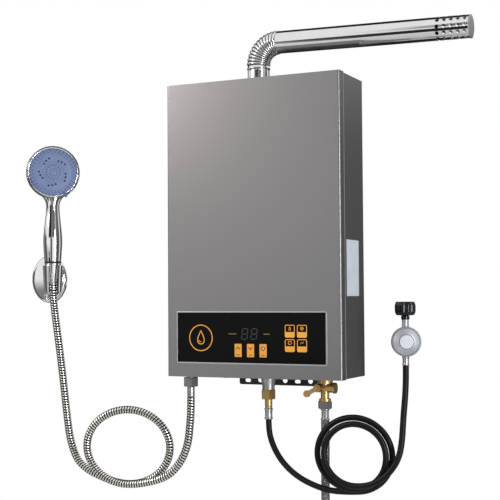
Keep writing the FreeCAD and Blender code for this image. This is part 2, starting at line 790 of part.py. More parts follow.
def make_bezel():
    """Frame around the panel: a lip on the cover, a sleeve through the window and a ledge for the glass."""
    lip = rounded_plate("bezel_lip_plate", "panel_width", "panel_height", "panel_corner", "bezel_lip")
    put(lip, "panel_offset", FRONT, PANEL_Z)
    inset = "2 * (bezel_overlap + panel_fit)"
    sleeve_plate = middle_block("bezel_sleeve", f"panel_width - {inset}", f"{LEDGE_BACK} - ({FRONT})",
                                f"panel_height - {inset}", "panel_offset", f"({LEDGE_BACK} + {FRONT}) / 2",
                                PANEL_Z)
    pocket = block("bezel_pocket",
                   ("panel_offset - panel_width / 2 + bezel_rim",
                    "panel_offset + panel_width / 2 - bezel_rim"),
                   (f"{FRONT} - bezel_lip - 1", GLASS_BACK),
                   (f"{PANEL_Z} - panel_height / 2 + bezel_rim", f"{PANEL_Z} + panel_height / 2 - bezel_rim"))
    rim = "(bezel_rim + bezel_ledge)"
    opening = block("bezel_opening",
                    (f"panel_offset - panel_width / 2 + {rim}", f"panel_offset + panel_width / 2 - {rim}"),
                    (f"{GLASS_BACK} - 1", f"{LEDGE_BACK} + 1"),
                    (f"{PANEL_Z} - panel_height / 2 + {rim}", f"{PANEL_Z} + panel_height / 2 - {rim}"))
    frame = without("bezel_frame", joined("bezel_solid", lip, sleeve_plate), pocket, opening)
    inwards = "(bezel_rim + bezel_ledge / 2)"
    posts = [rod(f"bezel_post_{side + 1}_{level + 1}", "post_radius",
                 f"panel_offset + {side} * (panel_width / 2 - {inwards})", (LEDGE_BACK, BOARD_FRONT),
                 f"{PANEL_Z} + {level} * (panel_height / 2 - {inwards})")
             for side in (-1, 1) for level in (-1, 1)]
    return keep("panel_bezel", joined("bezel_with_posts", frame, *posts))


def make_glass():
    """Black glass panel with three openings for the keys."""
    inset = "2 * (bezel_rim + panel_fit)"
    plate = rounded_plate("glass_plate", f"panel_width - {inset}", f"panel_height - {inset}",
                          "panel_corner / 2", "glass_thick")
    put(plate, "panel_offset", GLASS_BACK, PANEL_Z)
    holes = [middle_block(f"glass_opening_{name}", "key_width + 2 * key_fit", "3 * glass_thick",
                          "key_height + 2 * key_fit", key_x(step), GLASS_BACK, f"{PANEL_Z} - key_drop")
             for name, step in KEY_STEPS.items()]
    return keep("panel_glass", without("panel_glass_cut", plate, *holes))


def make_key(label, step):
    """A key that shows through the glass, with a flange behind it that stops it falling out."""
    front = f"({GLASS_FRONT} - key_proud)"
    flange_front = f"({GLASS_BACK} + key_fit)"
    cap = rounded_plate(label + "_cap", "key_width", "key_height", "key_corner", f"{flange_front} - {front}")
    put(cap, key_x(step), flange_front, f"{PANEL_Z} - key_drop")
    flange = middle_block(label + "_flange", "key_width + 2 * key_flange", "key_flange_thick",
                          "key_height + 2 * key_flange", key_x(step),
                          f"{flange_front} + key_flange_thick / 2", f"{PANEL_Z} - key_drop")
    return keep(label, joined(label + "_solid", cap, flange))


def make_key_switches():
    """Three push switches on the board, one behind each key."""
    button = f"({GLASS_BACK} + 2 * key_fit + key_flange_thick + key_travel)"
    switches = []
    for name, step in KEY_STEPS.items():
        housing = middle_block(f"switch_case_{name}", "switch_width", f"({BOARD_FRONT} - {button}) / 2",
                               "switch_width", key_x(step), f"{BOARD_FRONT} - ({BOARD_FRONT} - {button}) / 4",
                               f"{PANEL_Z} - key_drop")
        plunger = rod(f"switch_plunger_{name}", "switch_width / 4", key_x(step), (button, BOARD_FRONT),
                      f"{PANEL_Z} - key_drop")
        switches.append(joined(f"switch_{name}", housing, plunger))
    return keep("key_switches", group("key_switch_set", *switches))


def make_tiles():
    """Four thin tiles on the glass, two by two."""
    tiles = []
    for across in (-0.5, 0.5):
        for down in (-0.5, 0.5):
            name = f"tile_{int(across + 1)}_{int(down + 1)}"
            tile = rounded_plate(name, "tile_width", "tile_height", "tile_corner", "tile_thick")
            put(tile, f"panel_offset + tile_offset + {across} * tile_pitch_across", GLASS_FRONT,
                f"{PANEL_Z} - {down} * tile_pitch_down")
            tiles.append(tile)
    return keep("indicator_tiles", group("tile_set", *tiles))


def make_panel():
    make_bezel()
    make_glass()
    for label, step in KEY_STEPS.items():
        make_key(label, step)
    make_tiles()
    board_inset = "2 * (bezel_rim + panel_fit)"
    keep("control_board", middle_block("board", f"panel_width - {board_inset}", "board_thick",
                                       f"panel_height - {board_inset}", "panel_offset",
                                       f"{BOARD_FRONT} + board_thick / 2", PANEL_Z))
    make_key_switches()
    keep("display_module", middle_block("display", "display_width",
                                        f"{BOARD_FRONT} - {GLASS_BACK} - panel_fit",
                                        "display_height", "panel_offset + display_offset",
                                        f"({BOARD_FRONT} + {GLASS_BACK} + panel_fit) / 2",
                                        f"{PANEL_Z} + display_rise"))


# ---------------------------------------------------------------------------------------------------------
# Flue
# ---------------------------------------------------------------------------------------------------------
RIB_COUNT = 12
VENT_COLUMNS = 5
VENT_ROWS = 11
FLUE_TURN = "(90 + flue_fall)"
BEND_FOOT = f"({CASE_TOP} + flue_rise)"
BEND_X = "(flue_offset + flue_bend)"
PIPE_X = f"({BEND_X} + flue_bend * sin(flue_fall))"
PIPE_Z = f"({BEND_FOOT} + flue_bend * cos(flue_fall))"


def bend(name, radius):
    """The curved stretch of the flue as a solid of the given radius."""
    item = doc.addObject("Part::Torus", name)
    item.Placement = Placement(Vector(), Rotation(Vector(-1, 0, 0), Vector(0, 0, 1), Vector(0, 1, 0), "XYZ"))
    bind(item, {"Radius1": "flue_bend", "Radius2": radius, "Angle3": FLUE_TURN})
    return put(item, BEND_X, FLUE_Y, BEND_FOOT)


def rib(step):
    """One rib of the flexible elbow, square to its curve."""
    angle = f"({FLUE_TURN} * {(step + 0.5) / RIB_COUNT})"
    item = doc.addObject("Part::Torus", f"elbow_rib_{step}")
    bind(item, {"Radius1": "flue_radius", "Radius2": "rib_radius"})
    return put(item, f"{BEND_X} - flue_bend * cos({angle})", FLUE_Y,
               f"{BEND_FOOT} + flue_bend * sin({angle})", turn=angle, about=Vector(0, 1, 0))


def make_flue_elbow():
    """Ribbed elbow that turns in the collar on the casing."""
    foot = f"({CASE_TOP} - collar_depth + flue_fit)"
    straight = rod("elbow_straight", "flue_radius", "flue_offset", FLUE_Y, (foot, BEND_FOOT))
    bore = rod("elbow_bore", "flue_radius - flue_wall", "flue_offset", FLUE_Y, (f"{foot} - 1", BEND_FOOT))
    solid = joined("elbow_solid", straight, bend("elbow_bend", "flue_radius"),
                   *[rib(step) for step in range(RIB_COUNT)])
    return keep("flue_elbow", without("flue_elbow_cut", solid, bore,
                                      bend("elbow_bend_bore", "flue_radius - flue_wall")))


def make_flue_pipe():
    """Straight pipe that falls a little outwards, with vent holes round its end."""
    tube = turned("pipe_tube", [("flue_radius - flue_wall", "0"), ("flue_radius", "0"),
                                ("flue_radius", "flue_length"), ("flue_radius - flue_wall", "flue_length")])
    tools = []
    for column in range(VENT_COLUMNS):
        for row in range(VENT_ROWS):
            hole = rod(f"vent_{column}_{row}", "vent_hole_radius", z=("0", "1.5 * flue_radius"))
            tilt = Rotation(Vector(0, 0, 1), 360 / VENT_ROWS * row).multiply(Rotation(Vector(1, 0, 0), 90))
            hole.Placement = Placement(Vector(), tilt)
            bind(hole, {"Placement.Base.z": f"flue_length - vent_end - {column} * vent_pitch"})
            tools.append(hole)
    pipe = without("flue_pipe_cut", tube, *tools)
    return keep("flue_pipe", put(pipe, PIPE_X, FLUE_Y, PIPE_Z, turn=FLUE_TURN, about=Vector(0, 1, 0)))


def make_flue_cap():
    """Domed cap that closes the pipe's end."""
    plug = "(flue_radius - flue_wall - flue_fit)"
    outside = [(plug, "-cap_plug"), (plug, "0"), ("flue_radius", "0"), ("flue_radius", "cap_dome * 0.3"),
               ("flue_radius * 0.9", "cap_dome * 0.62"), ("flue_radius * 0.6", "cap_dome * 0.88"),
               ("0", "cap_dome")]
    inside = [("0", "cap_dome - flue_wall"), ("flue_radius * 0.6", "cap_dome * 0.88 - flue_wall"),
              (f"{plug} - flue_wall", "cap_dome * 0.5 - flue_wall"), (f"{plug} - flue_wall", "-cap_plug")]
    cap = turned("cap_turned", outside + inside)
    return keep("flue_end_cap", put(cap, f"{PIPE_X} + flue_length * cos(flue_fall)", FLUE_Y,
                                    f"{PIPE_Z} - flue_length * sin(flue_fall)",
                                    turn=FLUE_TURN, about=Vector(0, 1, 0)))


def make_flue():
    bore = "(flue_radius + flue_fit)"
    wall = f"({bore} + collar_wall)"
    collar = turned("collar_turned", [
        (f"{bore} - collar_lip", "-collar_depth - collar_lip"), (wall, "-collar_depth - collar_lip"),
        (wall, "0"),
        ("collar_flange", "0"), ("collar_flange", "collar_flange_thick"), (wall, "collar_flange_thick"),
        (wall, "collar_height"), (bore, "collar_height"), (bore, "-collar_depth"),
        (f"{bore} - collar_lip", "-collar_depth")])
    keep("flue_collar", put(collar, "flue_offset", FLUE_Y, CASE_TOP))
    make_flue_elbow()
    make_flue_pipe()
    make_flue_cap()


# ---------------------------------------------------------------------------------------------------------
# Burner, heat exchanger and fan
# ---------------------------------------------------------------------------------------------------------
STACK_X = ("(flue_offset - stack_width / 2)", "(flue_offset + stack_width / 2)")
FIN_COUNT = 15
BURNER_COUNT = 8
BLADE_COUNT = 8


def stack_shell(name, z_low, z_high):
    """A sheet metal duct of the stack's section, open at both ends."""
    outer = block(name + "_outer", STACK_X, (STACK_FRONT, INSIDE_BACK), (z_low, z_high))
    inner = block(name + "_inner", (f"{STACK_X[0]} + stack_wall", f"{STACK_X[1]} - stack_wall"),
                  (f"{STACK_FRONT} + stack_wall", f"{INSIDE_BACK} - stack_wall"),
                  (f"{z_low} - 1", f"{z_high} + 1"))
    return without(name, outer, inner)


def make_hood():
    """Exhaust hood over the heat exchanger, which houses the fan."""
    outer = block("hood_outer", STACK_X, (STACK_FRONT, INSIDE_BACK), (EXCHANGER_TOP, STACK_TOP))
    inner = block("hood_inner", (f"{STACK_X[0]} + stack_wall", f"{STACK_X[1]} - stack_wall"),
                  (f"{STACK_FRONT} + stack_wall", f"{INSIDE_BACK} - stack_wall"),
                  (f"{EXCHANGER_TOP} - 1", f"{STACK_TOP} - stack_wall"))
    outlet = rod("hood_outlet", "flue_radius + flue_fit - collar_lip", "flue_offset", FLUE_Y,
                 (f"{STACK_TOP} - stack_wall - 1", f"{STACK_TOP} + 1"))
    shaft_hole = rod("hood_shaft_hole", "shaft_radius + port_play", "flue_offset",
                     (f"{STACK_FRONT} - 1", f"{STACK_FRONT} + stack_wall + 1"), FAN_Z)
    return keep("exhaust_hood", without("hood_cut", outer, inner, outlet, shaft_hole))


def make_fan():
    """Radial fan: a motor on the front of the hood and an impeller inside it."""
    motor = rod("motor_case", "motor_radius", "flue_offset", (f"{STACK_FRONT} - motor_length", STACK_FRONT),
                FAN_Z)
    bore = rod("motor_bore", "shaft_radius + shaft_play", "flue_offset",
               (f"{STACK_FRONT} - motor_bore_depth", f"{STACK_FRONT} + 1"), FAN_Z)
    keep("fan_motor", without("fan_motor_cut", motor, bore))
    low, high = f"({FAN_Y} - fan_width / 2)", f"({FAN_Y} + fan_width / 2)"
    pieces = [
        rod("fan_shaft", "shaft_radius", "flue_offset",
            (f"{STACK_FRONT} - motor_bore_depth + port_play", high), FAN_Z),
        rod("fan_hub", "fan_hub", "flue_offset", (low, high), FAN_Z),
        rod("fan_disc", "fan_radius", "flue_offset", (f"{high} - fan_blade_thick", high), FAN_Z),
    ]
    for step in range(BLADE_COUNT):
        blade = doc.addObject("Part::Box", f"fan_blade_{step}")
        bind(blade, {"Length": "fan_radius - fan_hub / 2", "Width": "fan_width", "Height": "fan_blade_thick"})
        angle = step * 360 / BLADE_COUNT
        put(blade, f"flue_offset + fan_hub / 2 * cos({angle})", low, f"{FAN_Z} - fan_hub / 2 * sin({angle})",
            turn=angle, about=Vector(0, 1, 0))
        pieces.append(blade)
    keep("fan_impeller", joined("fan_impeller_solid", *pieces))


def make_exchanger():
    """Finned copper heat exchanger: a duct crossed by fins and water tubes."""
    shell = stack_shell("exchanger_shell", CHAMBER_TOP, EXCHANGER_TOP)
    middle = f"(({CHAMBER_TOP} + {EXCHANGER_TOP}) / 2)"
    fins = [block(f"fin_{step}",
                  (f"flue_offset + {step - FIN_COUNT // 2} * fin_pitch - fin_thick / 2",
                   f"flue_offset + {step - FIN_COUNT // 2} * fin_pitch + fin_thick / 2"),
                  (f"{STACK_FRONT} + stack_wall / 2", f"{INSIDE_BACK} - stack_wall / 2"),
                  (f"{middle} - fin_height / 2", f"{middle} + fin_height / 2")) for step in range(FIN_COUNT)]
    tubes = [rod(f"exchanger_tube_{step}", "exchanger_tube",
                 (f"{STACK_X[0]} + stack_wall / 2", f"{STACK_X[1]} - stack_wall / 2"),
                 f"{FAN_Y} + {step - 1} * 3.5 * exchanger_tube", middle) for step in range(3)]
    return keep("heat_exchanger", joined("heat_exchanger_solid", shell, *fins, *tubes))


def make_burners():
    """A row of hollow burner blades over the gas manifold, which closes the chamber from below."""
    blades = []
    nozzles = []
    for step in range(BURNER_COUNT):
        x = f"flue_offset + {step - (BURNER_COUNT - 1) / 2} * burner_pitch"
        blade = middle_block(f"burner_{step}", "burner_thick", "burner_depth", "burner_height", x, FAN_Y,
                             f"{CHAMBER_FOOT} + burner_height / 2")
        hollow = middle_block(f"burner_hollow_{step}", "burner_thick - 2 * stack_wall",
                              "burner_depth - 2 * stack_wall", "burner_height", x, FAN_Y,
                              f"{CHAMBER_FOOT} + burner_height / 2 - stack_wall")
        flame_slot = middle_block(f"flame_slot_{step}", "burner_thick / 6", "burner_depth * 0.8",
                                  "3 * stack_wall", x, FAN_Y, f"{CHAMBER_FOOT} + burner_height")
        blades.append(without(f"burner_blade_{step}", blade, hollow, flame_slot))
        nozzles.append(rod(f"nozzle_{step}", "nozzle_radius", x, PORT_Y,
                           (f"{CHAMBER_FOOT} - manifold_height / 2", f"{CHAMBER_FOOT} + 1")))
    keep("burner_bank", group("burner_set", *blades))
    plate = block("manifold_plate", STACK_X, (STACK_FRONT, INSIDE_BACK),
                  (f"{CHAMBER_FOOT} - 2 * stack_wall", CHAMBER_FOOT))
    bar = middle_block("manifold_bar", "stack_width - 4 * nozzle_radius", "manifold_depth", "manifold_height",
                       "flue_offset", PORT_Y, f"({CHAMBER_FOOT} + {MANIFOLD_FOOT}) / 2")
    keep("gas_manifold", without("gas_manifold_cut", joined("manifold_solid", plate, bar), *nozzles))


def make_chamber():
    """Combustion chamber around the burners, with two spark electrodes through its front."""
    places = [f"flue_offset + {side} * electrode_pitch / 2" for side in (-1, 1)]
    level = f"({CHAMBER_FOOT} + electrode_height)"
    holes = [rod(f"electrode_hole_{step}", "electrode_radius + port_play", x,
                 (f"{STACK_FRONT} - 1", f"{STACK_FRONT} + stack_wall + 1"), level)
             for step, x in enumerate(places)]
    keep("combustion_chamber", without("chamber_cut", stack_shell("chamber_shell", CHAMBER_FOOT, CHAMBER_TOP),
                                       *holes))
    rods = [rod(f"electrode_{step}", "electrode_radius", x,
                (f"{STACK_FRONT} - electrode_stub", f"{STACK_FRONT} + electrode_reach"), level)
            for step, x in enumerate(places)]
    keep("spark_electrodes", group("electrode_set", *rods))


def make_stack():
    make_hood()
    make_fan()
    make_exchanger()
    make_chamber()
    make_burners()
    keep("ignition_module", block("module_box",
                                  (f"{MODULE_X} - module_width / 2", f"{MODULE_X} + module_width / 2"),
                                  (f"{INSIDE_BACK} - module_depth", INSIDE_BACK),
                                  (f"{CASE_FLOOR} + module_rise",
                                   f"{CASE_FLOOR} + module_rise + module_height")))


# ---------------------------------------------------------------------------------------------------------
# Water and gas ways inside the casing
# ---------------------------------------------------------------------------------------------------------
def elbowed_pipe(label, x, z_low, wall_x, z_port, side):
    """A pipe that rises from a connection and turns to the heat exchanger; side is -1 left of it, 1 right."""
    def course(name, radius, grow_by):
        upright = rod(f"{name}_upright", radius, x, PORT_Y, (f"{z_low} - {grow_by}", f"{z_port} - pipe_bend"))
        run = (f"{x} + pipe_bend", f"{wall_x} + {grow_by}") if side < 0 else \
              (f"{wall_x} - {grow_by}", f"{x} - pipe_bend")
        level = rod(f"{name}_level", radius, run, PORT_Y, z_port)
        corner = doc.addObject("Part::Torus", f"{name}_corner")
        across = Vector(side, 0, 0)
        corner.Placement = Placement(Vector(),
                                     Rotation(across, Vector(0, 0, 1), across.cross(Vector(0, 0, 1)), "XYZ"))
        bind(corner, {"Radius1": "pipe_bend", "Radius2": radius, "Angle3": "90"})
        put(corner, f"{x} - {side} * pipe_bend", PORT_Y, f"{z_port} - pipe_bend")
        return joined(name, upright, level, corner)
    return keep(label, without(label + "_cut", course(label + "_outer", "pipe_radius", "0"),
                               course(label + "_inner", "pipe_radius - pipe_wall", "1")))


def make_flow_sensor():
    """Flow sensor on the cold inlet: a housing with a water turbine on a pin."""
    chamber = (f"{SENSOR_FOOT} + sensor_wall", f"{SENSOR_TOP} - sensor_wall")
    housing = without("sensor_hollow",
                      rod("sensor_housing", "sensor_radius", "cold_offset", PORT_Y,
                          (SENSOR_FOOT, SENSOR_TOP)),
                      rod("sensor_chamber_bore", "sensor_chamber", "cold_offset", PORT_Y, chamber),
                      rod("sensor_way", "pipe_radius - pipe_wall", "cold_offset", PORT_Y,
                          (f"{SENSOR_FOOT} - 1", f"{SENSOR_TOP} + 1")))
    ends = (f"{SENSOR_FOOT} + sensor_wall / 2", f"{SENSOR_TOP} - sensor_wall / 2")
    bars = [middle_block(f"sensor_bar_{step}", "2 * sensor_chamber + sensor_wall", "turbine_pin * 2",
                         "sensor_wall", "cold_offset", PORT_Y, level)
            for step, level in enumerate(ends)]
    pin = rod("turbine_pin_rod", "turbine_pin", "cold_offset", PORT_Y, ends)
    keep("flow_sensor", joined("flow_sensor_solid", housing, *bars, pin))
    low, high = f"({chamber[0]} + turbine_play)", f"({chamber[1]} - turbine_play)"
    pieces = [rod("turbine_hub_rod", "turbine_hub", "cold_offset", PORT_Y, (low, high))]
    for step in range(2):
        vane = doc.addObject("Part::Box", f"turbine_vane_{step}")
        reach = "(sensor_chamber - turbine_play)"
        bind(vane, {"Length": f"2 * {reach}", "Width": "turbine_blade_thick", "Height": f"{high} - {low}"})
        angle = step * 90
        put(vane, f"cold_offset - {reach} * cos({angle}) + turbine_blade_thick / 2 * sin({angle})",
            f"{PORT_Y} - {reach} * sin({angle}) - turbine_blade_thick / 2 * cos({angle})", low, turn=angle)
        pieces.append(vane)
    bore = rod("turbine_bore", "turbine_pin + turbine_pin_play", "cold_offset", PORT_Y,
               (f"{low} - 1", f"{high} + 1"))
    keep("flow_turbine", without("flow_turbine_cut", joined("turbine_solid", *pieces), bore))


def make_gas_train():
    """Gas valve with its solenoid, and the pipe from it to the manifold."""
    middle = f"({GAS_VALVE_FOOT} + {GAS_VALVE_TOP}) / 2"
    side = "gas_offset + gas_valve_width / 2"
    body = middle_block("gas_valve_block", "gas_valve_width", "gas_valve_depth", "gas_valve_height",
                        "gas_offset", PORT_Y, middle)
    coil = rod("solenoid_coil", "coil_radius", (f"{side} - 1", f"{side} + coil_length"), PORT_Y, middle)
    way = rod("gas_valve_way", "gas_bore", "gas_offset", PORT_Y,
              (f"{GAS_VALVE_FOOT} - 1", f"{GAS_VALVE_TOP} + 1"))
    keep("gas_valve", without("gas_valve_cut", joined("gas_valve_solid", body, coil), way))
    keep("gas_pipe", sleeve("gas_riser", "pipe_radius", "pipe_radius - pipe_wall", "gas_offset", PORT_Y,
                            (GAS_VALVE_TOP, MANIFOLD_FOOT)))


def make_inside_ways():
    make_flow_sensor()
    make_gas_train()
    elbowed_pipe("cold_pipe", "cold_offset", SENSOR_TOP, STACK_X[1], f"({CHAMBER_TOP} + cold_port_drop)", 1)
    elbowed_pipe("hot_pipe", HOT_X, f"({CASE_FLOOR} + gas_valve_rise)", STACK_X[0],
                 f"({CHAMBER_TOP} + hot_port_drop)", -1)


# ---------------------------------------------------------------------------------------------------------
# Connections under the casing
# ---------------------------------------------------------------------------------------------------------
def beaded_ferrule(name, radius, collar, length, bore):
    """A crimped sleeve with a bead at each end, hanging down from z = 0."""
    return turned(name, [
        (bore, "0"), (collar, "0"), (collar, "-ferrule_bead"), (radius, "-ferrule_bead"),
        (radius, f"-({length}) + ferrule_bead"), (collar, f"-({length}) + ferrule_bead"),
        (collar, f"-({length})"), (bore, f"-({length})")])


def make_hot_outlet():
    """Hot water outlet: a brass stub with its nut, and the ferrule of the shower hose."""
    stub = turned("hot_stub_turned", [
        ("hot_stub_radius - pipe_wall * 1.5", f"{HOT_NUT_FOOT} - ({CASE_FLOOR})"),
        ("hot_stub_radius", f"{HOT_NUT_FOOT} - ({CASE_FLOOR})"), ("hot_stub_radius", "-hot_flange_thick"),
        ("hot_flange_radius", "-hot_flange_thick"), ("hot_flange_radius", "0"), ("hot_stub_radius", "0"),
        ("hot_stub_radius", "gas_valve_rise"), ("hot_stub_radius - pipe_wall * 1.5", "gas_valve_rise")])
    keep("hot_outlet_stub", put(stub, HOT_X, PORT_Y, CASE_FLOOR))
    nut = hexagon_nut("hot_hexagon", "hot_nut_flats", "hot_nut_height", "hot_stub_radius + thread_play")
    keep("hot_nut", put(nut, HOT_X, PORT_Y, HOT_NUT_FOOT))
    ferrule = beaded_ferrule("hot_ferrule_turned", "hot_ferrule_radius - 0.4", "hot_ferrule_radius",
                             "hot_ferrule_length", "hot_stub_radius / 2")
    keep("hot_hose_ferrule", put(ferrule, HOT_X, PORT_Y, HOT_NUT_FOOT))


def make_gas_inlet():
    """Gas inlet: a plated boss, a brass union nut and tail, and the ferrule of the gas hose."""
    inner = "gas_valve_rise"
    boss = turned("gas_boss_turned", [
        ("gas_bore", f"{GAS_BOSS_FOOT} - ({CASE_FLOOR})"),
        ("boss_foot_radius", f"{GAS_BOSS_FOOT} - ({CASE_FLOOR})"),
        ("boss_mid_radius", "-boss_mid_drop"), ("boss_top_radius", "-boss_mid_drop / 3"),
        ("boss_top_radius", "0"),
        ("boss_foot_radius", "0"), ("boss_foot_radius", inner), ("gas_bore", inner)])
    keep("gas_inlet_boss", put(boss, "gas_offset", PORT_Y, CASE_FLOOR))
    nut = hexagon_nut("gas_hexagon", "gas_nut_flats", "gas_nut_height", "gas_tail_radius + thread_play")
    keep("gas_union_nut", put(nut, "gas_offset", PORT_Y, GAS_NUT_FOOT))
    keep("gas_tail", sleeve("gas_tail_tube", "gas_tail_radius", "gas_bore", "gas_offset", PORT_Y,
                            (GAS_TAIL_FOOT, GAS_BOSS_FOOT)))
    ferrule = beaded_ferrule("gas_ferrule_turned", "gas_ferrule_radius", "gas_ferrule_collar",
                             "gas_ferrule_length", "gas_bore * 0.6")
    keep("gas_ferrule", put(ferrule, "gas_offset", PORT_Y, GAS_TAIL_FOOT))


SPINDLE_SHOULDER = f"({PORT_Y} - valve_barrel_radius - lever_stand_off)"


def make_valve_body():
    """Brass cold-water valve: flange, cross barrel, spindle boss and tail."""
    barrel_z = f"({BOTTOM} - valve_barrel_drop)"
    pivot_x = "(cold_offset - lever_pivot_offset)"
    right = "(cold_offset + valve_barrel_right)"
    solid = joined(
        "valve_solid",
        rod("valve_stub", "valve_tail_radius", "cold_offset", PORT_Y, (CASE_FLOOR, SENSOR_FOOT)),
        rod("valve_flange", "valve_flange_radius", "cold_offset", PORT_Y,
            (f"{BOTTOM} - valve_flange_drop", CASE_FLOOR)),
        rod("valve_tail", "valve_tail_radius", "cold_offset", PORT_Y,
            (VALVE_FOOT, f"{BOTTOM} - valve_flange_drop")),
        rod("valve_flare", "valve_flare_radius", "cold_offset", PORT_Y, (VALVE_FOOT, VALVE_FLARE_TOP)),
        rod("valve_barrel", "valve_barrel_radius", ("cold_offset - valve_barrel_left", right), PORT_Y,
            barrel_z),
        rod("valve_boss", "valve_boss_radius", (right, f"{right} + valve_boss_length"), PORT_Y, barrel_z),
        rod("valve_spindle_boss", "lever_hub_radius", pivot_x, (SPINDLE_SHOULDER, PORT_Y), barrel_z),
        rod("valve_spindle", "spindle_radius", pivot_x,
            (f"{SPINDLE_SHOULDER} - lever_play - lever_thick - spindle_proud", SPINDLE_SHOULDER), barrel_z))
    way = rod("valve_way", "valve_bore", "cold_offset", PORT_Y, (f"{VALVE_FOOT} - 1", f"{SENSOR_FOOT} + 1"))
    keep("valve_body", without("valve_body_cut", solid, way))


def make_valve_lever():
    """Lever on the valve's spindle. It is drawn level, pointing to -X, and hangs at its slope."""
    thick = ("0", "lever_thick")
    hub = rod("lever_hub", "lever_hub_radius", "0", thick, "0")
    arm = block("lever_arm", ("-lever_length", "0"), thick, ("-lever_width / 2", "lever_width / 2"))
    grip = rod("lever_grip", "lever_grip_radius", "-lever_length", thick, "0")
    bore = rod("lever_bore", "spindle_radius + lever_play", "0", ("-1", "lever_thick + 1"), "0")
    lever = without("valve_lever_cut", joined("lever_solid", hub, arm, grip), bore)
    # turning by a negative angle about +Y drops the end that points to -X
    put(lever, "cold_offset - lever_pivot_offset",
        f"{SPINDLE_SHOULDER} - lever_play - lever_thick", f"{BOTTOM} - valve_barrel_drop",
        turn="-lever_slope", about=Vector(0, 1, 0))
    keep("valve_lever", lever)


def make_cold_inlet():
    make_valve_body()
    make_valve_lever()
    nut = hexagon_nut("cold_hexagon", "cold_nut_flats", "cold_nut_height", "valve_bore")
    keep("cold_nut", put(nut, "cold_offset", PORT_Y, COLD_NUT_FOOT))
    ferrule = beaded_ferrule("cold_ferrule_turned", "cold_ferrule_radius", "cold_ferrule_collar",
                             "cold_ferrule_length", "valve_bore * 0.6")
    keep("cold_ferrule", put(ferrule, "cold_offset", PORT_Y, COLD_NUT_FOOT))
    end_nut = hexagon_nut("end_hexagon", "cold_nut_flats", "end_nut_height", "valve_bore * 0.6")
    thread = rod("end_thread", "end_thread_radius", z=("-1", "end_thread_depth"))
    end_x, end_y, end_z = COLD_ROUTE[-1]
    keep("cold_end_nut", put(without("end_nut_cut", end_nut, thread), f"cold_offset + {end_x}",
                             f"{PORT_Y} + {end_y}", f"{BOTTOM} + {end_z} - end_nut_height"))


# ---------------------------------------------------------------------------------------------------------
# Gas regulator at the cylinder end of the gas hose
# ---------------------------------------------------------------------------------------------------------
FLUTE_COUNT = 14


def regulator_place(item):
    """Set a piece in the regulator's turned frame."""
    axis_x, axis_y = REGULATOR_AXIS
    return put(item, f"{axis_x} + regulator_depth / 2 * sin(regulator_turn)",
               f"{axis_y} - regulator_depth / 2 * cos(regulator_turn)", REGULATOR_Z, turn="regulator_turn")


def make_regulator():
    """Round die-cast regulator with its cover, black neck and fluted hand nut."""
    pan = rod("regulator_pan", "regulator_radius", "0", ("0", "regulator_depth"), "0")
    flange = rod("regulator_rim", "regulator_flange", "0", ("0", "regulator_flange_thick"), "0")
    stem = rod("regulator_stem", "regulator_stem_radius", "0", "regulator_depth / 2",
               ("-regulator_stem_foot", "regulator_stem_top"))
    way = rod("regulator_way", "nipple_radius / 2", "0", "regulator_depth / 2",
              ("-regulator_stem_foot - 1", "regulator_stem_top + 1"))
    keep("regulator_body", regulator_place(without("regulator_cut",
                                                   joined("regulator_solid", pan, flange, stem), way)))
    dome = "regulator_dome"
    cover = joined(
        "regulator_cover_solid",
        rod("cover_rim", "regulator_flange", "0", ("-regulator_flange_thick / 2", "0"), "0"),
        rod("cover_dome", "badge_radius * 1.2", "0", (f"-{dome}", "-regulator_flange_thick / 2"), "0",
            top_radius="regulator_flange - 1.5"))
    keep("regulator_cover", regulator_place(cover))
    axis_x, axis_y = REGULATOR_AXIS
    neck = turned("neck_turned", [
        ("nipple_radius", "0"), ("neck_radius", "0"), ("neck_radius", "neck_height"),
        ("regulator_stem_radius", "neck_height + handnut_play"),
        ("nipple_radius", "neck_height + nipple_length"),
        ("nipple_radius / 2", "neck_height + nipple_length"), ("nipple_radius / 2", "0")])
    keep("regulator_neck", put(neck, axis_x, axis_y, STEM_TOP))
    nut = turned("handnut_turned", [
        ("regulator_stem_radius + handnut_play", "0"), ("handnut_radius * 0.8", "0"),
        ("handnut_radius", "handnut_height * 0.25"),
        ("handnut_radius", "handnut_height * 0.75"), ("handnut_radius * 0.88", "handnut_height"),
        ("handnut_thread", "handnut_height"), ("handnut_thread", "handnut_height - handnut_depth"),
        ("regulator_stem_radius + handnut_play", "handnut_height - handnut_depth")])
    flutes = [rod(f"flute_{step}", "handnut_flute",
                  f"(handnut_radius + 0.4) * cos({step * 360 / FLUTE_COUNT})",
                  f"(handnut_radius + 0.4) * sin({step * 360 / FLUTE_COUNT})", ("-1", "handnut_height + 1"))
              for step in range(FLUTE_COUNT)]
    keep("hand_nut", put(without("hand_nut_cut", nut, *flutes), axis_x, axis_y, f"{NECK_TOP} + handnut_play"))
    ferrule = beaded_ferrule("regulator_ferrule_turned", "regulator_ferrule_radius - 0.8",
                             "regulator_ferrule_radius", "regulator_ferrule_length", "nipple_radius / 2")
    keep("regulator_ferrule", put(ferrule, axis_x, axis_y, REGULATOR_FOOT))


# ---------------------------------------------------------------------------------------------------------
# Hand shower and wall holder
# ---------------------------------------------------------------------------------------------------------
CUP_TOP = "cradle_above"
CUP_FOOT = "-cradle_below"


